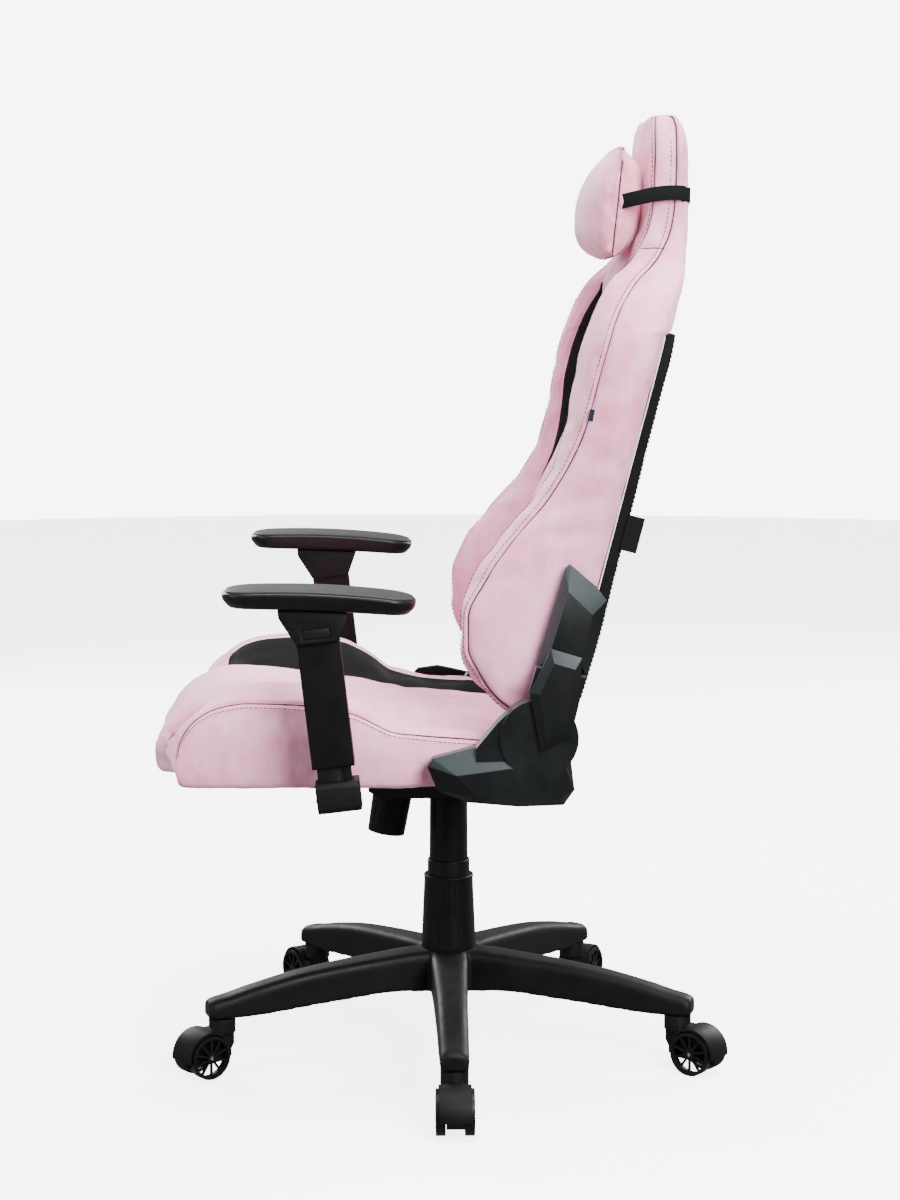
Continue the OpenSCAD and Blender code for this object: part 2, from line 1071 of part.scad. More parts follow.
// Steel tube frame inside the upholstery, with a bracket to each recline hinge
module back_frame() {
    tube_r = 10;
    cross_r = 7.5;
    overrun = 14;
    tube_x = 190;
    frame_low = [140, 560];
    frame_high = [250, 1000];
    rise = frame_high[1] - frame_low[1];
    run = frame_high[0] - frame_low[0];
    color([0.3, 0.3, 0.31])
        union() {
            for (side = [-1, 1]) {
                translate([side * tube_x, frame_low[0], frame_low[1]])
                    rotate([-atan(run / rise), 0, 0])
                        translate([0, 0, -overrun])
                            cylinder(h = norm([run, rise]) + 2 * overrun, r = tube_r);
                on_side(side)
                    difference() {
                        along_x(bracket_in_x, bracket_in_x + bracket_t)
                            polygon([[88, 490], [116, 572], [142, 688], [162, 680], [154, 560], [132, 492], [110, 478]]);
                        bar_x(200, 300, hinge_y, hinge_z, hinge_pin_r + run_gap);
                    }
            }
            bar_x(-bracket_in_x - 1, bracket_in_x + 1, frame_low[0], frame_low[1], cross_r);
            bar_x(-tube_x, tube_x, frame_high[0], frame_high[1], cross_r);
        }
}

module head_pillow() {
    half_x = 122;
    color([0.9, 0.79, 0.82])
        translate([0, pillow_y, pillow_z])
            rotate([pillow_lean, 0, 0])
                hull() {
                    for (x = [-half_x, half_x]) {
                        for (z = [-58, 58]) {
                            translate([x, 1, z])
                                sphere(r = 12, $fn = 24);
                        }
                    }
                    translate([0, 2, 0])
                        rotate([90, 0, 0])
                            cylinder(h = 32, r = 50, $fn = 32);
                }
}

// Elastic band round the head lobe, its ends on the pillow's side seams
module pillow_strap() {
    gap = 1.2;
    band = 1.6;
    inner = head_half_w + gap;
    color([0.05, 0.05, 0.055])
        translate([0, 0, strap_z - 11])
            linear_extrude(22)
                difference() {
                    polygon([
                        [-inner - band, 243.5],
                        [-inner - band, 315.6],
                        [-inner + 1.4, 318.6],
                        [inner - 1.4, 318.6],
                        [inner + band, 315.6],
                        [inner + band, 243.5],
                        [125, 231],
                        [-125, 231]
                    ]);
                    polygon([
                        [-inner, 244.6],
                        [-inner, 315],
                        [-inner + 2, 317],
                        [inner - 2, 317],
                        [inner, 315],
                        [inner, 244.6],
                        [110, 226],
                        [-110, 226]
                    ]);
                }
}

// ---------------------------------------------------------------- nodes

star_base();
caster_stems();
gas_cylinder();
cover_lower();
for (i = [1 : leg_count]) {
    caster_hood(i);
    caster_axle(i);
    caster_wheels(i);
}
cover_middle();
cover_upper();
piston_rod();
mech_housing();
tension_knob();
lever_bushing();
height_lever();
seat_plate();
tilt_pin();
seat_bolts();
seat_frame();
seat_cushion();
color([0.88, 0.77, 0.8]) on_side(1) seat_bolster();  // seat_bolster_left
color([0.88, 0.77, 0.8]) on_side(-1) seat_bolster();  // seat_bolster_right
on_side(1) arm_bracket();  // arm_bracket_left
on_side(-1) arm_bracket();  // arm_bracket_right
on_side(1) arm_boot();  // arm_boot_left
on_side(-1) arm_boot();  // arm_boot_right
on_side(1) arm_post();  // arm_post_left
on_side(-1) arm_post();  // arm_post_right
on_side(1) arm_sleeve();  // arm_sleeve_left
on_side(-1) arm_sleeve();  // arm_sleeve_right
on_side(1) arm_button();  // arm_button_left
on_side(-1) arm_button();  // arm_button_right
on_side(1) arm_pad();  // arm_pad_left
on_side(-1) arm_pad();  // arm_pad_right
on_side(1) hinge_plate();  // hinge_plate_left
on_side(-1) hinge_plate();  // hinge_plate_right
hinge_bolts();
on_side(1) seat_hinge_cover();  // seat_hinge_cover_left
on_side(-1) seat_hinge_cover();  // seat_hinge_cover_right
on_side(1) back_hinge_cover();  // back_hinge_cover_left
on_side(-1) back_hinge_cover();  // back_hinge_cover_right
recline_lever();
back_frame();
back_cushion();
color([0.9, 0.79, 0.82]) on_side(1) back_bolster();  // back_bolster_left
color([0.9, 0.79, 0.82]) on_side(-1) back_bolster();  // back_bolster_right
rear_panel();
head_pillow();
pillow_strap();
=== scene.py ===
"""Gaming chair: upholstery, moulded parts, materials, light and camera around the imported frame.

Everything is in metres in the chair's own frame: the sitter faces -Y, +X is the sitter's left,
+Z is up, and the origin is on the floor at the axis of the gas lift.
"""
import json
import math

import bmesh
import bpy
import numpy as np
from mathutils import Matrix, Vector, kdtree, noise
from mathutils.bvhtree import BVHTree


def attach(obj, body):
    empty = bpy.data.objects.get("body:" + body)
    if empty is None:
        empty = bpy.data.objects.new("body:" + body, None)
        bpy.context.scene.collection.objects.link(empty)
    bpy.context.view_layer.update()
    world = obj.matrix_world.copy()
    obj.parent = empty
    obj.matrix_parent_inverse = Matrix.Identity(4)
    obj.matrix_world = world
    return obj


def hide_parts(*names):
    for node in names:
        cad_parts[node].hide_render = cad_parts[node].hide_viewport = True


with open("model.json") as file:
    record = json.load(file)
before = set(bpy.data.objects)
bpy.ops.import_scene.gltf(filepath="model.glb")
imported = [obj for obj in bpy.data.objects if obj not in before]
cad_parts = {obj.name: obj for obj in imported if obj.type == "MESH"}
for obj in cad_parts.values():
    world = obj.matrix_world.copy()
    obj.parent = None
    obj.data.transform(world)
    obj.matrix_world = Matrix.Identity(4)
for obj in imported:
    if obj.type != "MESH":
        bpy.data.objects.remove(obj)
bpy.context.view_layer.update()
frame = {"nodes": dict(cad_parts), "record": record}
scene = bpy.context.scene
SIDES = {"left": 1, "right": -1}
STITCH_PITCH = 0.0062
STITCH_LENGTH = 0.0046
STITCH_RADIUS = 0.00052
CORD_PITCH = 0.004
# SEAM_FADE is how far the painted shade along the seams reaches.
SEAM_FADE = 0.008
CLOTH_FRAMES = 20
LEG_COUNT = 5
HUB_RADIUS = 0.041
PAD_JOINT_ROW = 9
SENSOR = 36.0
FOCAL_PIXELS = 2474.0
PHOTO_HEIGHT = 1200.0


# ---- mesh tools

def cubic(t, a, b, slope_a, slope_b):
    """The cubic from a to b with these slopes at its ends, for t from 0 to 1."""
    return ((1 + 2 * t) * (1 - t) ** 2 * a + t * (1 - t) ** 2 * slope_a
            + t * t * (3 - 2 * t) * b + t * t * (t - 1) * slope_b)


def curve(keys, values):
    """A smooth function through (keys, values) that doesn't overshoot (Fritsch-Carlson slopes)."""
    x = np.array(keys, float)
    y = np.array(values, float)
    h = np.diff(x)
    step = np.diff(y) / h
    slope = np.zeros(len(x))
    slope[0] = step[0]
    slope[-1] = step[-1]
    for i in range(1, len(x) - 1):
        if step[i - 1] * step[i] > 0:
            a = 2 * h[i] + h[i - 1]
            b = h[i] + 2 * h[i - 1]
            slope[i] = (a + b) / (a / step[i - 1] + b / step[i])

    def value(at):
        at = np.clip(at, x[0], x[-1])
        i = np.clip(np.searchsorted(x, at) - 1, 0, len(x) - 2)
        t = (at - x[i]) / h[i]
        return cubic(t, y[i], y[i + 1], h[i] * slope[i], h[i] * slope[i + 1])

    return value


def trace(points, counts, sharp=()):
    """Points along a smooth line through the control points, counts[i] steps from i to i + 1.
    The line may turn sharply at the control points whose indices are in sharp."""
    p = np.array(points, float)
    last = len(p) - 1
    out = [p[0]]
    for i in range(last):
        before = p[i - 1] if i > 0 and i not in sharp else 2 * p[i] - p[i + 1]
        after = p[i + 2] if i + 2 <= last and i + 1 not in sharp else 2 * p[i + 1] - p[i]
        chord = np.linalg.norm(p[i + 1] - p[i]) + 1e-9
        m0 = (p[i + 1] - before) * chord / (chord + np.linalg.norm(p[i] - before))
        m1 = (after - p[i]) * chord / (chord + np.linalg.norm(after - p[i + 1]))
        for k in range(1, counts[i] + 1):
            out.append(cubic(k / counts[i], p[i], p[i + 1], m0, m1))
    return np.array(out)


def add_object(name, data):
    """A new object in the scene, for a mesh, lamp or camera."""
    obj = bpy.data.objects.new(name, data)
    scene.collection.objects.link(obj)
    return obj


def make(name, verts, faces, material=None, smooth=True):
    """A new mesh object from its vertices and faces."""
    mesh = bpy.data.meshes.new(name)
    mesh.from_pydata([tuple(v) for v in verts], [], faces)
    mesh.validate()
    mesh.update()
    if smooth:
        mesh.shade_smooth()
    obj = add_object(name, mesh)
    if material:
        mesh.materials.append(material)
    return obj


def outward(obj):
    """Turns every face of a closed mesh outwards."""
    bm = bmesh.new()
    bm.from_mesh(obj.data)
    bmesh.ops.recalc_face_normals(bm, faces=bm.faces)
    bm.to_mesh(obj.data)
    bm.free()
    return obj


def settle(obj):
    """Applies every modifier."""
    graph = bpy.context.evaluated_depsgraph_get()
    graph.update()
    mesh = bpy.data.meshes.new_from_object(obj.evaluated_get(graph), depsgraph=graph)
    old = obj.data
    obj.modifiers.clear()
    obj.data = mesh
    bpy.data.meshes.remove(old)


def subdivide(obj, levels):
    mod = obj.modifiers.new("subdivision", "SUBSURF")
    mod.levels = levels
    settle(obj)


def coords(obj):
    co = np.empty(len(obj.data.vertices) * 3, np.float64)
    obj.data.vertices.foreach_get("co", co)
    return co.reshape(-1, 3)


def set_coords(obj, co):
    obj.data.vertices.foreach_set("co", np.asarray(co, np.float32).ravel())
    obj.data.update()


def normals(obj):
    no = np.empty(len(obj.data.vertices) * 3, np.float32)
    obj.data.vertex_normals.foreach_get("vector", no)
    return no.reshape(-1, 3).astype(float)


def closed_loft(name, halves):
    """A closed skin from half rings (x >= 0, first and last points on x = 0), mirrored to the
    other side. The first and last rings are closed by joining their front to their back."""
    halves = np.array(halves)
    rows, width = halves.shape[:2]
    h = width - 1
    around = 2 * h
    rings = np.empty((rows, around, 3))
    rings[:, :width] = halves
    rings[:, width:] = halves[:, 1:h][:, ::-1] * np.array([-1, 1, 1])
    faces = []
    column = []
    for r in range(rows - 1):
        for c in range(around):
            d = (c + 1) % around
            faces.append((r * around + c, r * around + d, (r + 1) * around + d, (r + 1) * around + c))
            column.append((r, min(c, around - 1 - c)))
    for r in (0, rows - 1):
        base = r * around
        for c in range(h // 2):
            for side in SIDES.values():
                ring = [base + side * k % around for k in (c, c + 1, h - c - 1, h - c)]
                faces.append(tuple(dict.fromkeys(ring)))
                column.append((r, -1))
    obj = make(name, rings.reshape(-1, 3), faces)
    outward(obj)
    return obj, around, column


def held(around, rows, columns, seams, flat_rows):
    """Vertices of a loft that stay put: its seams, its first ring, and the flat face beyond the last
    of the seams in some of its rows."""
    across = [side * columns[seam] % around for seam in seams for side in SIDES.values()]
    last = columns[seams[-1]]
    pinned = {r * around + c for r in range(rows) for c in across}
    pinned |= {r * around + c for r in flat_rows for c in range(last, around - last + 1)}
    return pinned | set(range(around))


def inflate(obj, pinned, pressure, cap, slack, stiffness, bending=0.5):
    """Blows a closed skin up like a stuffed cover, held at the pinned vertices. No point moves
    further than cap."""
    start = coords(obj)
    mod = obj.modifiers.new("cloth", "CLOTH")
    cloth = mod.settings
    group = obj.vertex_groups.new(name="pin")
    group.add([int(i) for i in pinned], 1.0, "REPLACE")
    cloth.vertex_group_mass = "pin"
    cloth.quality = 6
    cloth.mass = 0.15
    cloth.tension_stiffness = stiffness
    cloth.compression_stiffness = stiffness
    cloth.shear_stiffness = stiffness / 3
    cloth.bending_stiffness = bending
    cloth.use_pressure = True
    cloth.uniform_pressure_force = pressure
    cloth.shrink_min = -slack
    cloth.effector_weights.gravity = 0
    mod.collision_settings.use_collision = False
    mod.point_cache.frame_start = 1
    mod.point_cache.frame_end = CLOTH_FRAMES
    for f in range(1, CLOTH_FRAMES + 1):
        scene.frame_set(f)
    graph = bpy.context.evaluated_depsgraph_get()
    result = obj.evaluated_get(graph)
    co = np.array([v.co for v in result.data.vertices], float)
    move = co - start
    length = np.linalg.norm(move, axis=1)
    soft = cap * np.tanh(length / cap)
    co = start + move * (soft / np.maximum(length, 1e-9))[:, None]
    obj.modifiers.clear()
    obj.vertex_groups.clear()
    set_coords(obj, co)
    scene.frame_set(1)


def resample(path, pitch):
    """The path with points every pitch metres."""
    path = np.array(path, float)
    steps = np.linalg.norm(np.diff(path, axis=0), axis=1)
    along = np.concatenate([[0], np.cumsum(steps)])
    count = max(2, int(along[-1] / pitch))
    at = np.linspace(0, along[-1], count + 1)
    return np.stack([np.interp(at, along, path[:, k]) for k in range(3)], axis=1)


def tufted(p, scale, seed):
    """Smooth noise from -1 to 1 at each point."""
    shift = Vector((seed * 3.1, seed * 1.7, seed * 5.3))
    return np.array([noise.noise(Vector(v) * scale + shift) for v in p])


def sew(obj, seams, depth=0.0022, width=0.003, pucker=0.0007, reach=0.014):
    """Draws the cover in along its seams, puckers it beside them, and stores how near each
    point is to a seam, which the velvet turns into painted shade along the seams."""
    co = coords(obj)
    no = normals(obj)
    points = [p for s in seams for p in resample(s, 0.002)]
    tree = kdtree.KDTree(len(points))
    for i, p in enumerate(points):
        tree.insert(p, i)
    tree.balance()
    dist = np.array([tree.find(v)[2] for v in co])
    near = dist < 4 * reach
    wrinkle = np.zeros(len(co))
    wrinkle[near] = tufted(co[near], 95, 3)
    tuck = np.exp(-dist / reach) * (1 - np.exp(-(dist / width) ** 2))
    inward = depth * np.exp(-(dist / width) ** 2) + pucker * tuck * wrinkle
    set_coords(obj, co - no * inward[:, None])
    store(obj, "seam", np.exp(-dist / SEAM_FADE))


def store(obj, name, values):
    attribute = obj.data.attributes.get(name) or obj.data.attributes.new(name, "FLOAT", "POINT")
    attribute.data.foreach_set("value", np.asarray(values, np.float32))


def creases(obj, amount, scale, stretch=(1, 1, 1), seed=1, mask=None):
    """Slow folds of a soft cover over its filling."""
    co = coords(obj)
    p = co * np.array(stretch)
    fold = tufted(p, scale, seed) + 0.45 * tufted(p, scale * 2.3, seed + 1)
    if mask is not None:
        fold = fold * mask(co)
    set_coords(obj, co + normals(obj) * (amount * fold)[:, None])


def surface_tree(obj):
    graph = bpy.context.evaluated_depsgraph_get()
    graph.update()
    return BVHTree.FromObject(obj, graph)


def smoothed(path, reach):
    """The path with each point averaged over reach points to either side, its ends kept."""
    out = path.copy()
    for i in range(1, len(path) - 1):
        r = min(reach, i, len(path) - 1 - i)
        out[i] = path[i - r:i + r + 1].mean(0)
    return out


def on_surface(tree, path, shift, lift):
    """The path laid on a surface, moved sideways by shift and raised by lift."""
    path = np.array(path)
    along = np.gradient(path, axis=0)
    ups = np.array([tree.find_nearest(Vector(p))[1] for p in path])
    ups = smoothed(ups, 6)
    side = np.cross(ups, along)
    side /= np.linalg.norm(side, axis=1)[:, None] + 1e-9
    moved = path + side * shift
    spots = np.array([tree.find_nearest(Vector(p))[0] for p in moved])
    height = np.sum((spots - moved) * ups, axis=1)
    level = smoothed(height[:, None], 2)
    return moved + ups * (level + lift), ups


def capped(rings, around, base=0):
    """Faces of a run of rings of vertices, numbered from base, with both ends closed."""
    faces = []
    for j in range(rings - 1):
        low = base + j * around
        for k in range(around):
            m = (k + 1) % around
            faces.append((low + k, low + m, low + around + m, low + around + k))
    faces.append(tuple(base + k for k in reversed(range(around))))
    faces.append(tuple(base + (rings - 1) * around + k for k in range(around)))
    return faces


def stitch_row(tree, path, shift):
    """Vertices and faces of one row of stitches, each a short rounded thread."""
    row, ups = on_surface(tree, resample(path, STITCH_PITCH), shift, STITCH_RADIUS * 1.1)
    verts = []
    faces = []
    sides = 6
    profile = ((-0.5, 0.35), (-0.32, 1.0), (0.32, 1.0), (0.5, 0.35))
    for i in range(len(row) - 1):
        along = row[i + 1] - row[i]
        span = np.linalg.norm(along)
        if span < 0.5 * STITCH_PITCH or span > 2 * STITCH_PITCH:
            continue
        along /= span
        up = ups[i] - along * np.dot(ups[i], along)
        up /= np.linalg.norm(up) + 1e-9
        side = np.cross(along, up)
        faces += capped(len(profile), sides, len(verts))
        for s, r in profile:
            for k in range(sides):
                a = 2 * math.pi * k / sides
                out = side * math.cos(a) + up * math.sin(a)
                verts.append(row[i] + along * (s * STITCH_LENGTH) + out * STITCH_RADIUS * r)
    return verts, faces


def stitching(name, obj, rows, body, material):
    """One piece with every row of stitches: rows are (path, sideways shift)."""
    tree = surface_tree(obj)
    verts = []
    faces = []
    for path, shift in rows:
        v, f = stitch_row(tree, path, shift)
        faces += [tuple(i + len(verts) for i in face) for face in f]
        verts += v
    piece = make(name, verts, faces, material)
    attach(piece, body)


def tube(name, path, radius, body, material, sides=8):
    """A round piping or cord along a path, as a mesh."""
    path = np.array(path, float)
    count = len(path)
    verts = []
    for i in range(count):
        a = path[max(i - 1, 0)]
        b = path[min(i + 1, count - 1)]
        t = (b - a) / (np.linalg.norm(b - a) + 1e-9)
        ref = np.array([0, 0, 1.0]) if abs(t[2]) < 0.9 else np.array([1.0, 0, 0])
        u = np.cross(t, ref)
        u /= np.linalg.norm(u)
        v = np.cross(t, u)
        for k in range(sides):
            ang = 2 * math.pi * k / sides
            verts.append(path[i] + radius * (u * math.cos(ang) + v * math.sin(ang)))
    piece = outward(make(name, verts, capped(count, sides), material))
    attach(piece, body)


def cord(name, tree, line, lift, radius, body, material, sides=6):
    """A cord laid on a surface along a line."""
    path, _ = on_surface(tree, resample(line, CORD_PITCH), 0.0, lift)
    tube(name, path, radius, body, material, sides)


# ---- materials

class Nodes:
    """Builds a material's node tree step by step."""

    def __init__(self, name):
        self.material = bpy.data.materials.new(name)
        self.material.use_nodes = True
        self.tree = self.material.node_tree
        self.shader = self.tree.nodes["Principled BSDF"]
        self.place = self.add("ShaderNodeTexCoord").outputs["Object"]

    def add(self, kind, **settings):
        node = self.tree.nodes.new(kind)
        for key, value in settings.items():
            setattr(node, key, value)
        return node

    def link(self, a, b):
        self.tree.links.new(a, b)

    def noise(self, scale, detail=3.0, rough=0.55, stretch=None):
        node = self.add("ShaderNodeTexNoise")
        node.inputs["Scale"].default_value = scale
        node.inputs["Detail"].default_value = detail
        node.inputs["Roughness"].default_value = rough
        place = self.place
        if stretch:
            mapping = self.add("ShaderNodeMapping")
            mapping.inputs["Scale"].default_value = stretch
            self.link(place, mapping.inputs["Vector"])
            place = mapping.outputs["Vector"]
        self.link(place, node.inputs["Vector"])
        return node.outputs["Fac"]

    def wave(self, scale, direction, distortion=0.6):
        node = self.add("ShaderNodeTexWave", wave_type="BANDS", bands_direction=direction)
        node.inputs["Scale"].default_value = scale
        node.inputs["Distortion"].default_value = distortion
        node.inputs["Detail"].default_value = 1.0
        self.link(self.place, node.inputs["Vector"])
        return node.outputs["Fac"]

    def feed(self, socket, value):
        """Sets a socket to a number or a colour, or links another socket to it."""
        if isinstance(value, (int, float)):
            socket.default_value = value
        elif isinstance(value, tuple):
            socket.default_value = (*value, 1.0)
        else:
            self.link(value, socket)

    def math(self, kind, a, b):
        node = self.add("ShaderNodeMath", operation=kind)
        self.feed(node.inputs[0], a)
        self.feed(node.inputs[1], b)
        return node.outputs[0]

    def ramp(self, source, low, high, out_low=0.0, out_high=1.0):
        node = self.add("ShaderNodeMapRange")
        for key, v in (("From Min", low), ("From Max", high), ("To Min", out_low), ("To Max", out_high)):
            node.inputs[key].default_value = v
        self.link(source, node.inputs["Value"])
        return node.outputs["Result"]

    def mix(self, factor, a, b):
        node = self.add("ShaderNodeMix", data_type="RGBA")
        for socket, value in ((0, factor), (6, a), (7, b)):
            self.feed(node.inputs[socket], value)
        return node.outputs[2]

    def attribute(self, name):
        return self.add("ShaderNodeAttribute", attribute_name=name).outputs["Fac"]

    def bump(self, layers):
        """Chains (height, strength, distance) into the shader's normal."""
        last = None
        for height, strength, distance in layers:
            node = self.add("ShaderNodeBump")
            node.inputs["Strength"].default_value = strength
            node.inputs["Distance"].default_value = distance
            self.link(height, node.inputs["Height"])
            if last:
                self.link(last, node.inputs["Normal"])
            last = node.outputs["Normal"]
        self.link(last, self.shader.inputs["Normal"])

    def set(self, **values):
        for key, value in values.items():
            self.shader.inputs[key.replace("_", " ")].default_value = value

    def colour(self, source):
        self.link(source, self.shader.inputs["Base Color"])

    def roughness(self, source):
        self.link(source, self.shader.inputs["Roughness"])


def velvet(name, base, deep, pale, sheen=0.42):
    """Short-napped fabric: brushed patches, pinker folds, painted shade darkening the seams, fine weave."""
    n = Nodes(name)
    patches = n.noise(7, 4, 0.6)
    brushed = n.noise(38, 5, 0.65, (1, 1, 0.45))
    nap = n.noise(900, 2, 0.6)
    weave = n.math("MULTIPLY", n.wave(420, "X"), n.wave(420, "Z"))
    colour = n.mix(n.ramp(patches, 0.38, 0.66, 0.0, 0.9), base, deep)
    colour = n.mix(n.ramp(brushed, 0.42, 0.75, 0.0, 0.6), colour, pale)
    # Painted shade: darker pink near the seams, driven by the seam attribute that sew stores.
    colour = n.mix(n.math("MULTIPLY", n.attribute("seam"), 0.55), colour, deep)
    colour = n.mix(n.ramp(nap, 0.3, 0.7, 0.0, 0.1), colour, deep)
    n.colour(colour)
    n.roughness(n.ramp(brushed, 0.3, 0.7, 0.78, 0.9))
    n.bump([(brushed, 0.1, 0.002), (weave, 0.12, 0.0004), (nap, 0.28, 0.0005)])
    n.set(Sheen_Weight=sheen, Sheen_Roughness=0.45, Sheen_Tint=(1.0, 0.9, 0.94, 1.0))
    n.set(Specular_IOR_Level=0.25)
    return n.material


def woven(name, base, light, scale=520, rough=0.85, bump=0.35):
    """Plain black upholstery cloth."""
    n = Nodes(name)
    threads = n.math("MAXIMUM", n.wave(scale, "X", 0.3), n.wave(scale, "Z", 0.3))
    fuzz = n.noise(240, 4, 0.6)
    colour = n.mix(n.ramp(fuzz, 0.35, 0.75, 0.0, 0.7), base, light)
    colour = n.mix(n.ramp(threads, 0.5, 1.0, 0.0, 0.35), colour, light)
    n.colour(colour)
    n.roughness(n.ramp(fuzz, 0.3, 0.7, rough - 0.06, rough + 0.06))
    n.bump([(threads, bump, 0.0005), (fuzz, 0.15, 0.0004)])
    n.set(Sheen_Weight=0.015, Sheen_Roughness=0.5, Specular_IOR_Level=0.12)
    return n.material


def ribbed(name, base, light):
    """Elastic webbing with fine ribs along it."""
    n = Nodes(name)
    ribs = n.wave(330, "Z", 0.1)
    cross = n.wave(700, "Y", 0.4)
    fuzz = n.noise(300, 3)
    colour = n.mix(n.ramp(ribs, 0.2, 0.9, 0.0, 0.6), base, light)
    n.colour(n.mix(n.ramp(fuzz, 0.4, 0.7, 0.0, 0.3), colour, light))
    n.roughness(n.ramp(fuzz, 0.3, 0.7, 0.72, 0.86))
    n.bump([(ribs, 0.5, 0.0006), (cross, 0.2, 0.0003)])
    n.set(Specular_IOR_Level=0.1)
    return n.material


def moulded(name, base, light, rough, grain, strength, specular, painted_top_light=None):
    """Moulded plastic: fine spark-eroded grain, slight gloss changes, rubbed edges, and a painted
    highlight: paler on faces that look up, as if lit from above."""
    n = Nodes(name)
    skin = n.noise(grain, 2, 0.5)
    cloud = n.noise(22, 4, 0.6)
    smears = n.noise(60, 5, 0.7, (1, 1, 0.3))
    surface = n.add("ShaderNodeNewGeometry")
    edge = surface.outputs["Pointiness"]
    colour = n.mix(n.ramp(cloud, 0.35, 0.7, 0.0, 0.45), base, light)
    colour = n.mix(n.ramp(edge, 0.52, 0.62, 0.0, 0.5), colour, light)
    # Painted highlight: faces that look up are mixed towards a paler colour, standing in for light from
    # above.
    if painted_top_light:
        split = n.add("ShaderNodeSeparateXYZ")
        n.link(surface.outputs["Normal"], split.inputs[0])
        colour = n.mix(n.ramp(split.outputs["Z"], 0.03, 0.34), colour, painted_top_light)
    n.colour(colour)
    gloss = n.ramp(cloud, 0.3, 0.7, *rough)
    n.roughness(n.math("ADD", gloss, n.ramp(smears, 0.45, 0.8, 0.0, 0.08)))
    n.bump([(skin, strength, 0.0003)])
    n.set(Specular_IOR_Level=specular)
    return n.material


def metal(name, base, light):
    """Turned or drawn steel, with fine lines."""
    n = Nodes(name)
    lines = n.noise(180, 4, 0.6, (1, 1, 12))
    cloud = n.noise(30, 4)
    n.colour(n.mix(n.ramp(cloud, 0.35, 0.7), base, light))
    n.roughness(n.ramp(lines, 0.3, 0.7, 0.22, 0.38))
    n.bump([(lines, 0.08, 0.0002)])
    n.set(Metallic=1.0)
    return n.material


def painted(name, base, light):
    """Powder-coated steel: orange peel under a satin coat."""
    n = Nodes(name)
    peel = n.noise(420, 2)
    cloud = n.noise(25, 4)
    n.colour(n.mix(n.ramp(cloud, 0.35, 0.7), base, light))
    n.roughness(n.ramp(cloud, 0.3, 0.7, 0.36, 0.5))
    n.bump([(peel, 0.2, 0.0004)])
    n.set(Coat_Weight=0.04, Coat_Roughness=0.3, Specular_IOR_Level=0.16)
    return n.material


PINK = velvet("pink_velvet", (0.8, 0.345, 0.51), (0.68, 0.225, 0.345), (0.88, 0.53, 0.7))
PILLOW = velvet("pillow_velvet", (0.78, 0.335, 0.47), (0.65, 0.21, 0.31), (0.85, 0.5, 0.63))
BLACK_CLOTH = woven("black_cloth", (0.0022, 0.0022, 0.0024), (0.0065, 0.0065, 0.007))
LINING = woven("black_lining", (0.004, 0.004, 0.004), (0.011, 0.011, 0.012), scale=260, bump=0.2)
STRAP = ribbed("strap_elastic", (0.0022, 0.0025, 0.003), (0.008, 0.009, 0.01))
THREAD = woven("thread", (0.04, 0.018, 0.03), (0.08, 0.042, 0.064), scale=2400, rough=0.7)
PIPING = velvet("piping_cloth", (0.84, 0.74, 0.78), (0.72, 0.58, 0.63), (0.9, 0.84, 0.86), sheen=0.2)
TAG = woven("tag_cloth", (0.004, 0.01, 0.026), (0.012, 0.022, 0.045), scale=1600, rough=0.7)
NYLON = moulded("base_nylon",
                (0.002, 0.002, 0.0022), (0.0052, 0.0052, 0.0056), (0.46, 0.6), 1100, 0.16, 0.13)
COLUMN = moulded("column_plastic",
                 (0.002, 0.002, 0.0021), (0.005, 0.005, 0.0052), (0.4, 0.52), 1400, 0.12, 0.13)
# The last colour is a painted highlight for the faces that look up.
COVER = moulded("cover_plastic",
                (0.0012, 0.0017, 0.0019), (0.003, 0.0042, 0.0046), (0.3, 0.38), 1500, 0.04, 0.26,
                (0.03, 0.037, 0.04))
ARM = moulded("arm_plastic",
              (0.0022, 0.0022, 0.0023), (0.0056, 0.0056, 0.0058), (0.42, 0.54), 1400, 0.12, 0.13)
WHEEL = moulded("wheel_nylon",
                (0.002, 0.002, 0.0022), (0.0056, 0.0056, 0.006), (0.32, 0.44), 1600, 0.08, 0.18)
PAD = moulded("pad_polyurethane", (0.02, 0.021, 0.02), (0.033, 0.035, 0.033), (0.5, 0.62), 700, 0.3, 0.25)
PAD_BODY = moulded("pad_body", (0.0022, 0.0026, 0.0022), (0.006, 0.0066, 0.006), (0.3, 0.42), 900, 0.2, 0.2)
STEEL = metal("bright_steel", (0.42, 0.42, 0.44), (0.56, 0.56, 0.57))
BLACK_STEEL = painted("black_steel", (0.0022, 0.0022, 0.0024), (0.0056, 0.0056, 0.006))
# By the CAD's material slots. The seat board is covered with the lining of the underside.
CAD_LOOKS = {
    "base_plastic": NYLON, "column_plastic": COLUMN, "wheel_plastic": WHEEL, "cover_plastic": COVER,
    "arm_plastic": ARM, "pad_soft": PAD, "black_steel": BLACK_STEEL, "bright_steel": STEEL,
    "board_wood": LINING, "pink_fabric": PINK, "pillow_fabric": PILLOW, "black_fabric": BLACK_CLOTH,
    "strap_elastic": STRAP,
}
SLOT_OF = {row["node"]: row["material_slot"] for row in frame["record"]["subparts"]}
BODY_OF = {n: b for b, members in frame["record"]["behaviour"]["bodies"].items() for n in members}


# ---- hard parts

def dress(mesh, material, sharp):
    """Gives a mesh one material and smooth shading, split at edges sharper than this many degrees."""
    mesh.materials.clear()
    mesh.materials.append(material)
    mesh.shade_smooth()
    mesh.set_sharp_from_angle(angle=math.radians(sharp))


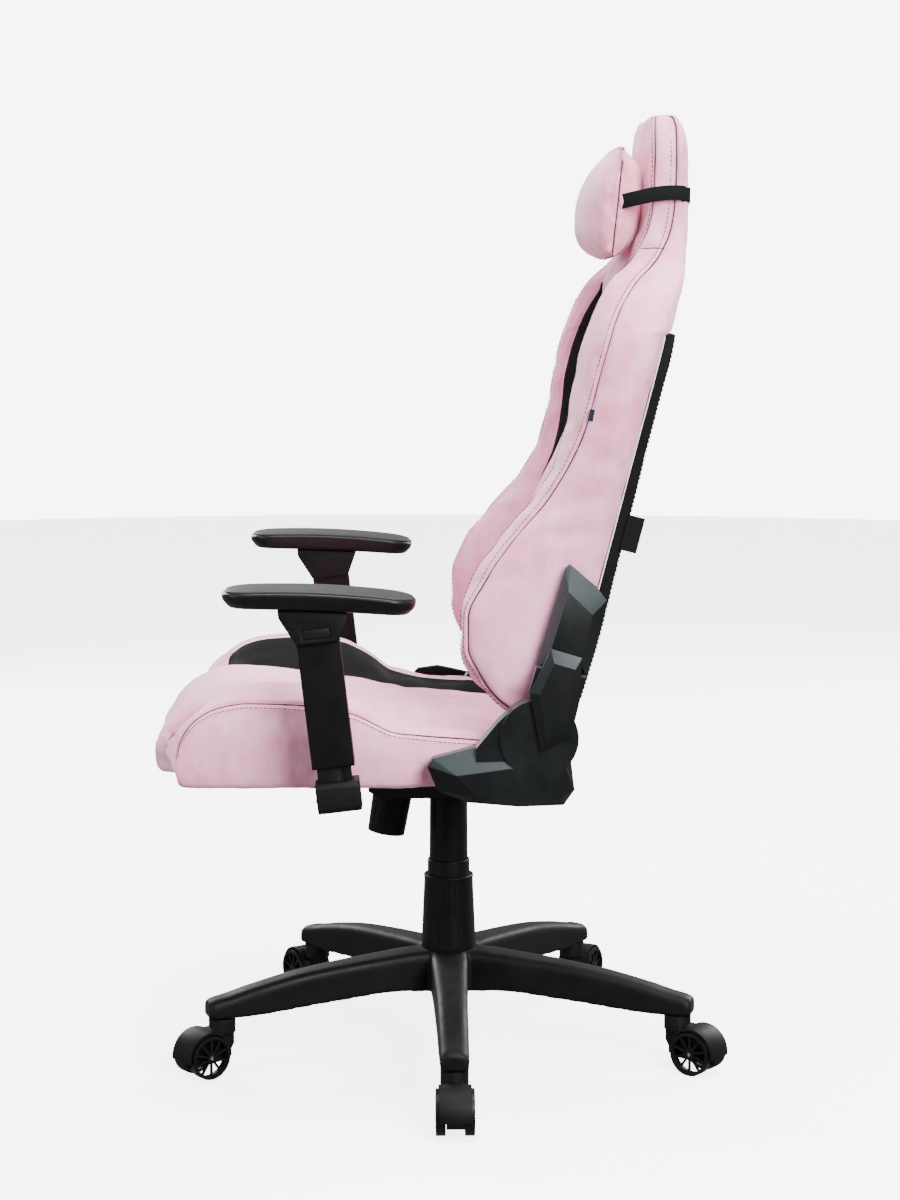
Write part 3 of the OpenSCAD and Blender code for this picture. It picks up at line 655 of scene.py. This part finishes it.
def softened(node, bevel, segments=3, angle=24, sharp=40):
    """A copy of a CAD node with its facets merged and its edges rounded, in its place."""
    mesh = frame["nodes"][node].data.copy()
    mesh.name = node + "_moulding"
    obj = add_object(node + "_moulding", mesh)
    bm = bmesh.new()
    bm.from_mesh(mesh)
    bmesh.ops.remove_doubles(bm, verts=bm.verts, dist=2e-5)
    bmesh.ops.dissolve_limit(bm, angle_limit=math.radians(1.0), verts=bm.verts, edges=bm.edges)
    bm.to_mesh(mesh)
    bm.free()
    mod = obj.modifiers.new("bevel", "BEVEL")
    mod.width = bevel
    mod.segments = segments
    mod.limit_method = "ANGLE"
    mod.angle_limit = math.radians(angle)
    settle(obj)
    dress(obj.data, CAD_LOOKS[SLOT_OF[node]], sharp)
    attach(obj, BODY_OF[node])
    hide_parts(node)


def carry(node):
    """A CAD node that stays as it is, with its own material."""
    dress(frame["nodes"][node].data, CAD_LOOKS[SLOT_OF[node]], 35)


def star_base():
    """The moulded base: five ribbed legs, open below, that flow out of the hub."""
    top = curve((0, 0.05, 0.106, 0.211, 0.29, 0.327, 0.34, 0.348, 0.352),
                (0.1475, 0.147, 0.143, 0.132, 0.1165, 0.107, 0.1045, 0.102, 0.099))
    under = curve((0, 0.05, 0.0845, 0.183, 0.306, 0.352), (0.088, 0.09, 0.0925, 0.086, 0.077, 0.077))
    width = curve((0, 0.05, 0.11, 0.22, 0.33, 0.346, 0.352),
                  (0.052, 0.052, 0.048, 0.042, 0.0385, 0.0375, 0.0345))
    pocket = curve((0, 0.05, 0.07, 0.28, 0.295, 0.352), (0.0, 0.0, 0.016, 0.01, 0.0, 0.0))
    halves = []
    for reach in list(np.linspace(0.0, 0.336, 57)) + [0.341, 0.345, 0.349, 0.352]:
        w = 0.5 * width(reach)
        t = top(reach)
        u = under(reach)
        p = pocket(reach)
        section = [(0, t), (0.5 * w, t - 0.0003), (w - 0.006, t - 0.0015), (w - 0.0015, t - 0.005),
                   (w, t - 0.011), (w, 0.5 * (t + u)), (w, u + 0.003), (w - 0.0012, u + 0.0006),
                   (w - 0.0045, u), (w - 0.0062, u + p * 0.9), (0.5 * w, u + p), (0, u + p)]
        halves.append([(x, reach, z) for x, z in section])
    leg, _, _ = closed_loft("leg", halves)
    bm = bmesh.new()
    for i in range(LEG_COUNT):
        start = len(bm.verts)
        bm.from_mesh(leg.data)
        bm.verts.ensure_lookup_table()
        turn = Matrix.Rotation(math.radians(360 / LEG_COUNT * i - 90), 3, "Z")
        bmesh.ops.rotate(bm, cent=(0, 0, 0), matrix=turn, verts=bm.verts[start:])
    start = len(bm.verts)
    bmesh.ops.create_cone(bm, cap_ends=True, segments=64, radius1=HUB_RADIUS, radius2=HUB_RADIUS, depth=0.06)
    bm.verts.ensure_lookup_table()
    bmesh.ops.translate(bm, vec=(0, 0, 0.118), verts=bm.verts[start:])
    mesh = bpy.data.meshes.new("star_base_moulding")
    bm.to_mesh(mesh)
    bm.free()
    bpy.data.objects.remove(leg)
    obj = add_object("star_base_moulding", mesh)
    mod = obj.modifiers.new("join", "REMESH")
    mod.mode = "VOXEL"
    mod.voxel_size = 0.0024
    mod = obj.modifiers.new("fillet", "SMOOTH")
    mod.factor = 0.5
    mod.iterations = 6
    settle(obj)
    dress(obj.data, NYLON, 180)
    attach(obj, BODY_OF["star_base"])
    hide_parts("star_base")


def arm_pad(side_name):
    """A crowned soft top over a dark moulded shell, with the joint line between them."""
    side = SIDES[side_name]
    half_w, half_l, corner = 0.045, 0.122, 0.034
    slope = math.radians(-2.6)
    centre = np.array([0.33 * side, -0.1703, 0.686])
    levels = [(-0.0102, 0.013), (-0.0098, 0.0105), (-0.008, 0.008), (-0.003, 0.0042), (0.002, 0.0014),
              (0.006, 0.0003), (0.0083, 0.0), (0.0098, 0.0008), (0.0106, 0.0026), (0.0109, 0.0044),
              (0.0113, 0.0046), (0.0121, 0.0036), (0.0129, 0.0046), (0.0136, 0.008), (0.0141, 0.014),
              (0.0144, 0.022), (0.0146, 0.032), (0.0146, 0.04)]
    halves = []
    for z, inset in levels:
        w = half_w - inset
        length = half_l - inset
        r = max(0.004, corner - 0.8 * inset)
        r = min(r, w - 0.0005)
        half = [(t * (length - r), w) for t in np.linspace(0, 1, 15)]
        corner_angles = np.linspace(0.15, 1.42, 8)
        half += [(length - r + r * math.sin(a), w - r + r * math.cos(a)) for a in corner_angles]
        half += [(length, 0.0)]
        half += [(x, -y) for x, y in half[:-1][::-1]]
        arch = [0.0028 - 0.0062 * (x / half_l) ** 2 for x, _ in half]
        share = min(1, max(0.35, (z + 0.01) / 0.012))
        halves.append([(x, y, z + h * share) for (x, y), h in zip(half, arch)])
    obj, _, column = closed_loft(f"arm_pad_{side_name}_cover", halves)
    co = coords(obj)
    turned = np.stack([co[:, 1], co[:, 0], co[:, 2]], axis=1)
    lean = np.array(Matrix.Rotation(slope, 3, "X"))
    set_coords(obj, turned @ lean.T + centre)
    outward(obj)
    obj.data.materials.append(PAD_BODY)
    obj.data.materials.append(PAD)
    for poly, (r, _) in zip(obj.data.polygons, column):
        poly.material_index = int(r >= PAD_JOINT_ROW)
    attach(obj, BODY_OF[f"arm_pad_{side_name}"])
    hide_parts(f"arm_pad_{side_name}")


# ---- backrest

def backrest_sections():
    """Half sections of the backrest from its foot to the top of the head lobe, and the
    columns that the seams follow."""
    table = np.array([
        # z, then: middle y, crease x, y, front x, y, seam x, y, side x, rear x
        (0.512, 0.108, 0.15, 0.116, 0.205, 0.088, 0.232, 0.104, 0.236, 0.212),
        (0.54, 0.098, 0.15, 0.106, 0.207, 0.05, 0.236, 0.06, 0.242, 0.22),
        (0.575, 0.094, 0.15, 0.102, 0.208, 0.022, 0.24, 0.034, 0.245, 0.224),
        (0.61, 0.093, 0.15, 0.101, 0.208, 0.0125, 0.241, 0.019, 0.2455, 0.226),
        (0.65, 0.095, 0.15, 0.103, 0.207, 0.013, 0.24, 0.019, 0.2455, 0.228),
        (0.7, 0.104, 0.15, 0.112, 0.203, 0.029, 0.238, 0.042, 0.246, 0.23),
        (0.75, 0.118, 0.15, 0.126, 0.197, 0.064, 0.238, 0.076, 0.25, 0.232),
        (0.8, 0.137, 0.15, 0.145, 0.19, 0.107, 0.242, 0.1185, 0.257, 0.236),
        (0.85, 0.161, 0.15, 0.17, 0.184, 0.136, 0.25, 0.149, 0.265, 0.242),
        (0.9, 0.183, 0.15, 0.192, 0.18, 0.149, 0.258, 0.169, 0.272, 0.248),
        (0.95, 0.201, 0.15, 0.206, 0.178, 0.1575, 0.262, 0.181, 0.276, 0.252),
        (1.0, 0.217, 0.15, 0.2165, 0.177, 0.168, 0.26, 0.195, 0.272, 0.246),
        (1.04, 0.228, 0.149, 0.22, 0.174, 0.183, 0.244, 0.21, 0.254, 0.226),
        (1.08, 0.238, 0.142, 0.2235, 0.163, 0.2055, 0.21, 0.235, 0.218, 0.19),
        (1.115, 0.247, 0.128, 0.242, 0.15, 0.237, 0.171, 0.269, 0.174, 0.15),
        (1.15, 0.255, 0.118, 0.2555, 0.1445, 0.256, 0.153, 0.286, 0.153, 0.134),
        (1.2, 0.26, 0.112, 0.2615, 0.1425, 0.264, 0.149, 0.2925, 0.149, 0.13),
        (1.25, 0.259, 0.108, 0.2605, 0.1385, 0.2655, 0.146, 0.2935, 0.146, 0.127),
        (1.28, 0.2615, 0.098, 0.2625, 0.125, 0.2665, 0.134, 0.2935, 0.134, 0.117),
        (1.297, 0.2665, 0.078, 0.267, 0.099, 0.27, 0.108, 0.292, 0.108, 0.094),
        (1.303, 0.2735, 0.052, 0.274, 0.065, 0.276, 0.073, 0.2895, 0.073, 0.066),
    ])
    z = tuple(table[:, 0])
    (middle_y, crease_x, crease_y, front_x, front_y, seam_x, seam_y, side_x,
     rear_x) = [curve(z, column) for column in table[:, 1:].T]
    inset = curve((0.51, 0.76, 0.8, 0.847, 0.876, 0.906, 0.935, 0.964, 0.99, 1.02, 1.05, 1.075, 1.303),
                  (0.97, 0.97, 0.8, 0.62, 0.5, 0.38, 0.31, 0.29, 0.33, 0.42, 0.62, 0.97, 0.97))
    rear_y = curve(sorted(z + (1.013, 1.021)),
                   (0.148, 0.1545, 0.1628, 0.1709, 0.1808, 0.1934, 0.2059, 0.2183, 0.2305, 0.2425, 0.2548,
                    0.268, 0.2712, 0.28, 0.2862, 0.298, 0.306, 0.31, 0.3105, 0.3105, 0.3075, 0.302, 0.293))
    counts = (5, 4, 5, 4, 6, 5, 4, 12)
    halves = []
    extra = [1.0135, 1.0165, 1.287, 1.293, 1.2965, 1.299, 1.3003]
    heights = sorted(list(np.linspace(0.512, 1.28, 66)) + extra)
    for h in heights:
        ym = middle_y(h)
        yb = rear_y(h)
        front = np.array([front_x(h), front_y(h), h])
        crease = np.array([crease_x(h), crease_y(h), h])
        edge = front + inset(h) * (crease - front)
        seam = np.array([seam_x(h), seam_y(h), h])
        back_edge = 0.5 + 0.32 * min(1, (h - 0.5) / 0.2)
        points = [
            (0, ym, h), (0.6 * crease_x(h), ym - 0.001, h), crease, edge, front, seam,
            (side_x(h), seam[1] + back_edge * (yb - seam[1]), h), (rear_x(h), yb, h), (0, yb + 0.002, h),
        ]
        halves.append(trace(points, counts, sharp=(2, 3, 7)))
    names = ("crease", "edge", "front", "seam", "side", "rear")
    columns = dict(zip(names, np.cumsum(counts)[1:7].tolist()))
    return halves, np.array(heights), columns


def backrest():
    halves, heights, columns = backrest_sections()
    obj, around, column = closed_loft("backrest", halves)
    rows = len(heights)

    def line(name, side, low=0.0, high=2.0):
        """Vertex indices up a seam, on one side, between two heights."""
        c = side * columns[name] % around
        return [r * around + c for r in range(rows) if low <= heights[r] <= high]

    obj.data.materials.append(PINK)
    obj.data.materials.append(BLACK_CLOTH)
    lo, hi = columns["crease"], columns["edge"]
    for poly, (r, c) in zip(obj.data.polygons, column):
        poly.material_index = int(0.765 < heights[r] < 1.07 and lo <= c < hi)
    pinned = held(around, rows, columns, ("crease", "edge", "front", "seam", "rear"),
                  [r for r in range(rows) if heights[r] < 1.02])
    inflate(obj, pinned, pressure=5, cap=0.0045, slack=0.02, stiffness=12)
    settled = coords(obj)
    lines = {}
    for side_name, side in SIDES.items():
        lines["front", side_name] = settled[line("front", side)]
        lines["side", side_name] = settled[line("seam", side)]
        lines["crease", side_name] = settled[line("crease", side, 0.0, 1.07)]
        lines["inset", side_name] = settled[line("edge", side, 0.77, 1.07)]
        lines["rear", side_name] = settled[line("rear", side)]
        row = int(np.argmin(np.abs(heights - 1.125))) * around
        across = range(columns["front"], columns["seam"] + 1)
        lines["gusset", side_name] = settled[[row + side * c % around for c in across]]
    subdivide(obj, 2)
    creases(obj, 0.0021, 9, (1, 1, 0.7), seed=2)
    creases(obj, 0.0009, 24, (1, 1.3, 0.8), seed=5)
    sew(obj, list(lines.values()), depth=0.0026)
    stitches = []
    for side_name, side in SIDES.items():
        stitches.append((lines["side", side_name], 0.0062 * side))
        front_line = lines["front", side_name]
        neck = int(np.argmin(np.abs(front_line[:, 2] - 1.06)))
        stitches.append((front_line[:neck + 1], -0.007 * side))
        stitches.append((front_line[neck:], 0.0034 * side))
    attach(obj, "back")
    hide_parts("back_cushion", "back_bolster_left", "back_bolster_right")
    stitching("backrest_stitching", obj, stitches, "back", THREAD)
    tree = surface_tree(obj)
    seam_path = lines["side", "left"]
    spot = Vector(seam_path[int(np.argmin(np.abs(seam_path[:, 2] - 0.917)))])
    spot += Vector((0.0035, 0.005, 0.0))
    folded_tag("seam_tag", spot, (0.0016, 0.01, 0.015), math.radians(-10), TAG)
    for side_name in SIDES:
        for name, path, lift, radius in (
                ("backrest_seam", lines["side", side_name], -0.0003, 0.001),
                ("head_front_seam", lines["front", side_name][neck:], -0.0002, 0.0007),
                ("neck_seam", lines["gusset", side_name], -0.0003, 0.0006)):
            cord(f"{name}_{side_name}", tree, path, lift, radius, "back", THREAD)
    return tree


# ---- seat

def seat_sections():
    """Half sections of the seat from its rear edge to its front edge."""
    depth = (0, 0.004, 0.01, 0.019, 0.03, 0.043, 0.07, 0.1, 0.187, 0.253, 0.345, 0.451, 0.501)
    middle_z = curve(depth, (0.455, 0.471, 0.481, 0.492, 0.503, 0.516, 0.53, 0.532, 0.524, 0.515,
                             0.503, 0.492, 0.487))
    under_z = curve((0, 0.004, 0.01, 0.019, 0.03, 0.501), (0.44, 0.431, 0.4282, 0.4273, 0.427, 0.427))
    ridge_z = curve((0, 0.002, 0.01, 0.028, 0.045, 0.069, 0.103, 0.131, 0.207, 0.239, 0.285, 0.318,
                     0.398, 0.457),
                    (0.457, 0.484, 0.503, 0.523, 0.541, 0.554, 0.561, 0.5625, 0.556, 0.541, 0.51, 0.502,
                     0.495, 0.488))
    seam_z = curve((0, 0.002, 0.01, 0.03, 0.055, 0.096, 0.15, 0.225, 0.288, 0.332, 0.39, 0.457),
                   (0.456, 0.482, 0.502, 0.524, 0.537, 0.543, 0.541, 0.53, 0.503, 0.495, 0.49, 0.482))
    front_y = curve((0, 0.12, 0.146, 0.172, 0.2, 0.27), (-0.404, -0.402, -0.39, -0.3645, -0.3614, -0.3602))
    narrow = curve((-0.5, -0.085, -0.035, 0.2), (1.0, 1.0, 0.931, 0.931))
    inset = curve((0, 0.041, 0.0495, 0.1, 0.24, 0.3, 0.501), (0.03, 0.03, 0.86, 0.96, 0.97, 0.97, 0.94))
    rear = 0.096
    length = 0.501
    counts = (4, 4, 4, 2, 3, 2, 3, 3, 6, 7)
    steps = list(np.linspace(length, 0.06, 40)) + [0.05, 0.04, 0.03, 0.022, 0.015, 0.009, 0.004, 0.001]
    halves = []
    for d in steps:
        db = d * (rear + 0.3595) / length
        zc = middle_z(d)
        zb = under_z(d)
        zr = ridge_z(db)
        zs = seam_z(db)
        low = under_z(db)
        gutter = zc - 0.009 * min(1, d / 0.05)
        gutter += min(0, zr - 0.019 - gutter) * min(1, max(0, (d - 0.015) / 0.03))
        points = [
            (0, zc - 0.001), (0.09, zc - 0.002), (0.15, gutter),
            (0.15 + inset(d) * 0.059, gutter + inset(d) * (zr - 0.0005 - gutter)), (0.2145, zr + 0.0008),
            (0.242, 0.23 * zr + 0.77 * zs + 0.001),
            (0.256, zs), (0.2615, 0.5 * (zs + low)), (0.254, low), (0.15, zb), (0, zb),
        ]
        flat = trace([(x, 0, z) for x, z in points], counts, sharp=(2, 3, 8))
        y = front_y(flat[:, 0]) + d * (rear - front_y(flat[:, 0])) / length
        shrink = narrow(y)
        outer = flat[:, 0] > 0.2
        flat[:, 1] = y
        flat[outer, 0] = 0.2 + (flat[outer, 0] - 0.2) * (1 - (1 - shrink[outer]) * 4.3)
        halves.append(flat)
    names = ("crease", "edge", "ridge", "upper", "seam", "side", "foot")
    columns = dict(zip(names, np.cumsum(counts)[1:8].tolist()))
    return halves, np.array(steps), columns


def seat():
    halves, steps, columns = seat_sections()
    obj, around, column = closed_loft("seat_cover", halves)
    rows = len(steps)

    obj.data.materials.append(PINK)
    obj.data.materials.append(BLACK_CLOTH)
    for poly, (r, c) in zip(obj.data.polygons, column):
        poly.material_index = int(steps[r] > 0.055 and columns["crease"] <= c < columns["edge"])
    pinned = held(around, rows, columns, ("crease", "edge", "ridge", "seam", "foot"), range(rows))
    inflate(obj, pinned, pressure=5, cap=0.005, slack=0.02, stiffness=12)
    settled = coords(obj)
    lines = {}
    for name in ("seam", "edge", "crease", "foot"):
        for side_name, side in SIDES.items():
            c = side * columns[name] % around
            lines[name, side_name] = settled[[r * around + c for r in range(rows)]]
    subdivide(obj, 2)
    creases(obj, 0.0021, 9, (1, 0.7, 1), seed=11)
    creases(obj, 0.001, 26, (1, 0.8, 1), seed=14)

    def front_tucks(co):
        """Deep puckers where the middle's front edge is gathered against the bolsters."""
        near = np.exp(-((np.abs(co[:, 0]) - 0.158) / 0.022) ** 2)
        return near * np.clip((-0.35 - co[:, 1]) / 0.03, 0, 1)

    creases(obj, 0.006, 42, (0.5, 0.6, 1.6), seed=21, mask=front_tucks)
    sew(obj, list(lines.values()), depth=0.0024)
    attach(obj, "seat")
    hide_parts("seat_cushion", "seat_bolster_left", "seat_bolster_right")
    tree = surface_tree(obj)
    stitches = []
    for side_name, side in SIDES.items():
        stitches.append((lines["seam", side_name], 0.0066 * side))
        cord(f"seat_piping_{side_name}", tree, lines["edge", side_name][:-7], 0.0002, 0.0014, "seat", PIPING,
             sides=8)
        cord(f"seat_seam_{side_name}", tree, lines["seam", side_name], -0.0003, 0.001, "seat", THREAD)
    stitching("seat_stitching", obj, stitches, "seat", THREAD)


# ---- head pillow and strap

def head_pillow():
    """Two sewn panels, full at the front and low down, flatter against the head lobe."""
    half_x = 0.134
    half_z = 0.0752
    centre = np.array([0, 0.2195, 1.185])
    nx, nz = 36, 22
    front = curve((-1, -0.93, -0.75, -0.45, -0.1, 0.25, 0.55, 0.8, 1),
                  (0, 0.024, 0.033, 0.0375, 0.0385, 0.034, 0.0245, 0.0125, 0))
    back = curve((-1, -0.9, -0.6, 0, 0.5, 0.85, 1), (0, 0.016, 0.031, 0.039, 0.035, 0.018, 0))
    verts = []
    index = {}
    faces = []
    for layer, sign, depth in (("front", -1, front), ("back", 1, back)):
        for j in range(nz + 1):
            for i in range(nx + 1):
                if layer == "back" and (i in (0, nx) or j in (0, nz)):
                    index[layer, i, j] = index["front", i, j]
                    continue
                u = math.sin(0.5 * math.pi * (2 * i / nx - 1))
                v = math.sin(0.5 * math.pi * (2 * j / nz - 1))
                full = (1 - abs(u) ** 3.2) ** 0.62
                x = half_x * u * (1 - 0.05 * v * v)
                z = half_z * v * (1 - 0.06 * u * u)
                index[layer, i, j] = len(verts)
                verts.append((x, sign * depth(v) * full, z))
        for j in range(nz):
            for i in range(nx):
                faces.append((index[layer, i, j], index[layer, i + 1, j],
                              index[layer, i + 1, j + 1], index[layer, i, j + 1]))
    obj = outward(make("head_pillow_cover", verts, faces, PILLOW))
    rim = [index["front", i, 0] for i in range(nx)] + [index["front", nx, j] for j in range(nz)]
    rim += [index["front", i, nz] for i in range(nx, 0, -1)]
    rim += [index["front", 0, j] for j in range(nz, 0, -1)]
    inflate(obj, rim, pressure=6, cap=0.006, slack=0.04, stiffness=10, bending=0.2)
    lean = np.array(Matrix.Rotation(math.radians(-5.5), 3, "X"))
    co = coords(obj) @ lean.T + centre
    set_coords(obj, co)
    seam = [co[i] for i in rim] + [co[rim[0]]]
    subdivide(obj, 2)
    creases(obj, 0.0008, 26, seed=31)
    sew(obj, [seam], depth=0.0022, pucker=0.0036, reach=0.013)
    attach(obj, "pillow")
    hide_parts("head_pillow")
    tree = surface_tree(obj)
    cord("head_pillow_seam", tree, seam, 0.0004, 0.0008, "pillow", THREAD)


def pillow_strap(lobe):
    """Elastic band from the pillow's side seams round the back of the head lobe."""
    half = trace([(0.1275, 0.2195, 1.185), (0.148, 0.244, 1.1905), (0.156, 0.272, 1.196),
                  (0.156, 0.2985, 1.1968), (0.1495, 0.309, 1.195), (0.134, 0.3142, 1.1935),
                  (0.105, 0.3172, 1.192), (0.0, 0.319, 1.19)],
                 (7, 6, 6, 4, 4, 4, 12))
    for p in half:
        hit = lobe.ray_cast(Vector((p[0], 0.35, p[2])), Vector((0, -1, 0)))[0]
        if hit and p[1] >= 0.305:
            p[1] = min(p[1], hit.y + 0.0014)
    path = np.vstack([half, half[:-1][::-1] * np.array([-1, 1, 1])])
    along = np.gradient(path, axis=0)
    wide, thick = 0.0095, 0.0008
    profile = [(-1, -0.6), (-1, 0.6), (-0.9, 1), (-0.45, 1.05), (0, 1), (0.45, 1.05), (0.9, 1), (1, 0.6),
               (1, -0.6), (0.9, -1), (-0.9, -1)]
    verts = []
    for p, t in zip(path, along):
        t = t / np.linalg.norm(t)
        up = np.array([0, 0, 1.0]) - t * t[2]
        up /= np.linalg.norm(up)
        out = np.cross(up, t)
        for a, b in profile:
            verts.append(p + up * (a * wide) + out * (b * thick))
    obj = outward(make("pillow_strap_band", verts, capped(len(path), len(profile)), STRAP))
    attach(obj, "pillow")
    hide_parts("pillow_strap")


# ---- rear panel

def rear_panel():
    """Black panel on the back of the backrest, a pale piping in the joint, and a folded tag."""
    half_w = curve((0.525, 0.54, 0.575, 0.61, 0.65, 0.7, 0.75, 0.8, 0.85, 0.9, 0.95, 1.0, 1.016),
                   (0.2165, 0.2205, 0.225, 0.227, 0.229, 0.231, 0.233, 0.237, 0.243, 0.249, 0.253, 0.2475,
                    0.24))
    inner = curve((0.525, 0.61, 0.7, 0.8, 0.9, 1.0, 1.016),
                  (0.149, 0.1685, 0.1912, 0.216, 0.2402, 0.2657, 0.27))
    outer = curve((0.525, 0.546, 0.61, 0.7, 0.8, 0.9, 1.005, 1.016),
                  (0.1655, 0.1708, 0.1892, 0.2108, 0.2345, 0.2572, 0.2838, 0.2862))
    levels = [0.525, 0.5262, 0.529] + list(np.linspace(0.535, 1.008, 46)) + [1.0125, 1.0148, 1.016]
    halves = []
    for z in levels:
        ends = 0.0012 if z in (levels[0], levels[-1]) else 0.0
        w = half_w(z) - ends
        y0 = inner(z) + ends
        y1 = outer(z) - ends
        crown = y1 + 0.004
        ring = [(0, crown), (0.35 * w, crown - 0.0004), (0.62 * w, crown - 0.0012),
                (0.85 * w, crown - 0.0026), (w - 0.0045, y1 - 0.0002), (w - 0.0012, y1 - 0.0014),
                (w, y1 - 0.0045), (w, 0.5 * (y0 + y1)), (w, y0 + 0.003), (w - 0.0008, y0 + 0.0008),
                (w - 0.0045, y0)]
        ring += [(part * w, y0) for part in (0.85, 0.62, 0.35, 0)]
        halves.append([(x, y, z) for x, y in ring])
    obj, _, _ = closed_loft("rear_panel_cover", halves)
    obj.data.materials.append(BLACK_CLOTH)
    subdivide(obj, 1)
    creases(obj, 0.0006, 16, seed=41)
    rise = [(half_w(z) - 0.014, outer(z) + 0.0015, z) for z in np.linspace(0.542, 1.002, 80)]
    border = rise + [(x, 0.2865, 1.002) for x in np.linspace(0.233, -0.233, 60)]
    border += [(-x, y, z) for x, y, z in rise[::-1]]
    border += [(x, 0.1725, 0.542) for x in np.linspace(-0.206, 0.206, 60)]
    tree = surface_tree(obj)
    border, _ = on_surface(tree, resample(border, CORD_PITCH), 0.0, 0.0)
    sew(obj, [border], depth=0.0018, pucker=0.0004)
    stitching("rear_panel_stitching", obj, [(border, 0.0045)], "back", STRAP)
    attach(obj, "back")
    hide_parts("rear_panel")
    edge = [(half_w(z) + 0.0006, inner(z) + 0.0018, z) for z in np.linspace(0.53, 1.01, 90)]
    over = [(x, 0.2722, 1.0172) for x in np.linspace(0.236, -0.236, 40)]
    border = edge + over + [(-x, y, z) for x, y, z in edge[::-1]]
    tube("rear_panel_piping", border, 0.001, "back", PIPING)
    spot = Vector((0.2355, 0.2325, 0.7585))
    folded_tag("rear_tag", spot, (0.0014, 0.022, 0.047), math.radians(-14), STRAP)


def folded_tag(name, spot, size, lean, material):
    """A plain woven tag, folded double and sewn in by its front edge."""
    thick, deep, tall = size
    profile = ((-0.5, 0.5), (0.3, 0.62), (0.46, 0.42), (0.5, 0.0), (0.46, -0.42), (0.3, -0.62),
               (-0.5, -0.5))
    verts = []
    rings = np.linspace(-0.5, 0.5, 9)
    for t in rings:
        sway = 0.0006 * math.sin(3 * t)
        for y, x in profile:
            point = Vector((x * thick + sway, y * deep, t * tall))
            verts.append(spot + Matrix.Rotation(lean, 3, "X") @ point)
    obj = outward(make(name, verts, capped(len(rings), len(profile)), material))
    obj.data.set_sharp_from_angle(angle=math.radians(50))
    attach(obj, "back")


# ---- stage, light and camera

def plain(name, colour, glow):
    """Plain matt studio surface with some light of its own."""
    n = Nodes(name)
    n.set(Base_Color=(colour, colour, colour, 1), Roughness=0.8, Specular_IOR_Level=0.1)
    n.set(Emission_Color=(1, 1, 1, 1), Emission_Strength=glow)
    return n.material


def unlit(obj):
    """Seen by the camera, but it sends no light onto the chair and hides none from it."""
    for kind in ("diffuse", "glossy", "transmission", "shadow"):
        setattr(obj, "visible_" + kind, False)


def stage():
    """White studio: a floor that takes soft shadows, a white surround and five softboxes."""
    turns = [2 * math.pi * k / 96 for k in range(96)]
    ring = [(7.5 * math.cos(a), 7.5 * math.sin(a), 0) for a in turns]
    floor = make("floor", ring, [tuple(range(len(ring)))], plain("floor_paper", 0.9, 4.0), smooth=False)
    unlit(floor)
    bm = bmesh.new()
    bmesh.ops.create_uvsphere(bm, u_segments=48, v_segments=24, radius=8.2)
    mesh = bpy.data.meshes.new("surround")
    bm.to_mesh(mesh)
    bm.free()
    surround = add_object("surround", mesh)
    mesh.materials.append(plain("surround_paper", 0.0, 7.5))
    unlit(surround)
    world = bpy.data.worlds.new("studio")
    scene.world = world
    world.use_nodes = True
    sky = world.node_tree.nodes["Background"].inputs
    sky["Color"].default_value = (1.0, 1.0, 1.0, 1)
    sky["Strength"].default_value = 0.4

    for name, place, aim, size, power in (
            ("key", (3.0, 1.5, 2.3), (0, 0.1, 0.7), (1.8, 1.8), 340),
            ("front", (1.6, -3.2, 1.6), (0, 0.0, 0.6), (1.6, 2.0), 80),
            ("top", (0.2, 0.1, 3.4), (0, 0, 0.6), (2.0, 2.0), 190),
            ("back", (-2.6, 2.4, 1.8), (0, 0.1, 0.7), (1.6, 2.0), 160),
            ("far", (-2.8, -1.6, 1.6), (0, 0.1, 0.7), (1.4, 1.8), 100)):
        data = bpy.data.lights.new(name, "AREA")
        data.shape = "RECTANGLE"
        data.size, data.size_y = size
        data.energy = power
        lamp = add_object(name, data)
        lamp.location = place
        lamp.rotation_euler = (Vector(aim) - Vector(place)).to_track_quat("-Z", "Y").to_euler()


def camera():
    """A long lens at the chair's left side, a little above the armrests."""
    yaw = 0.0236
    pitch = 0.1358
    aim = Vector((-math.cos(yaw) * math.cos(pitch), math.sin(yaw) * math.cos(pitch), -math.sin(pitch)))
    data = bpy.data.cameras.new("view")
    data.sensor_width = SENSOR
    data.lens = SENSOR * FOCAL_PIXELS / PHOTO_HEIGHT
    scene.camera = add_object("view", data)
    scene.camera.location = (3.4115, -0.0785, 1.1075)
    scene.camera.rotation_euler = aim.to_track_quat("-Z", "Y").to_euler()


# ---- the chair

camera()
stage()
BUILT = {"back_cushion", "back_bolster_left", "back_bolster_right", "seat_cushion", "seat_bolster_left",
         "seat_bolster_right", "head_pillow", "pillow_strap", "rear_panel", "star_base", "arm_pad_left",
         "arm_pad_right"}
CARRIED = ("caster_axle", "piston", "tilt_pin", "hinge_bolts", "caster_stems", "back_frame")
BEVELS = {"mech_housing": 0.003, "arm_sleeve": 0.002, "arm_boot": 0.0025, "caster_hood": 0.0026}
for node in frame["nodes"]:
    if node in BUILT:
        continue
    if node.startswith(CARRIED):
        carry(node)
    elif "hinge_cover" in node:
        softened(node, 0.0011, segments=2, angle=9, sharp=11)
    else:
        bevels = [width for start, width in BEVELS.items() if node.startswith(start)]
        softened(node, bevels[0] if bevels else 0.0009)
star_base()
for side_name in SIDES:
    arm_pad(side_name)
lobe = backrest()
seat()
head_pillow()
pillow_strap(lobe)
rear_panel()
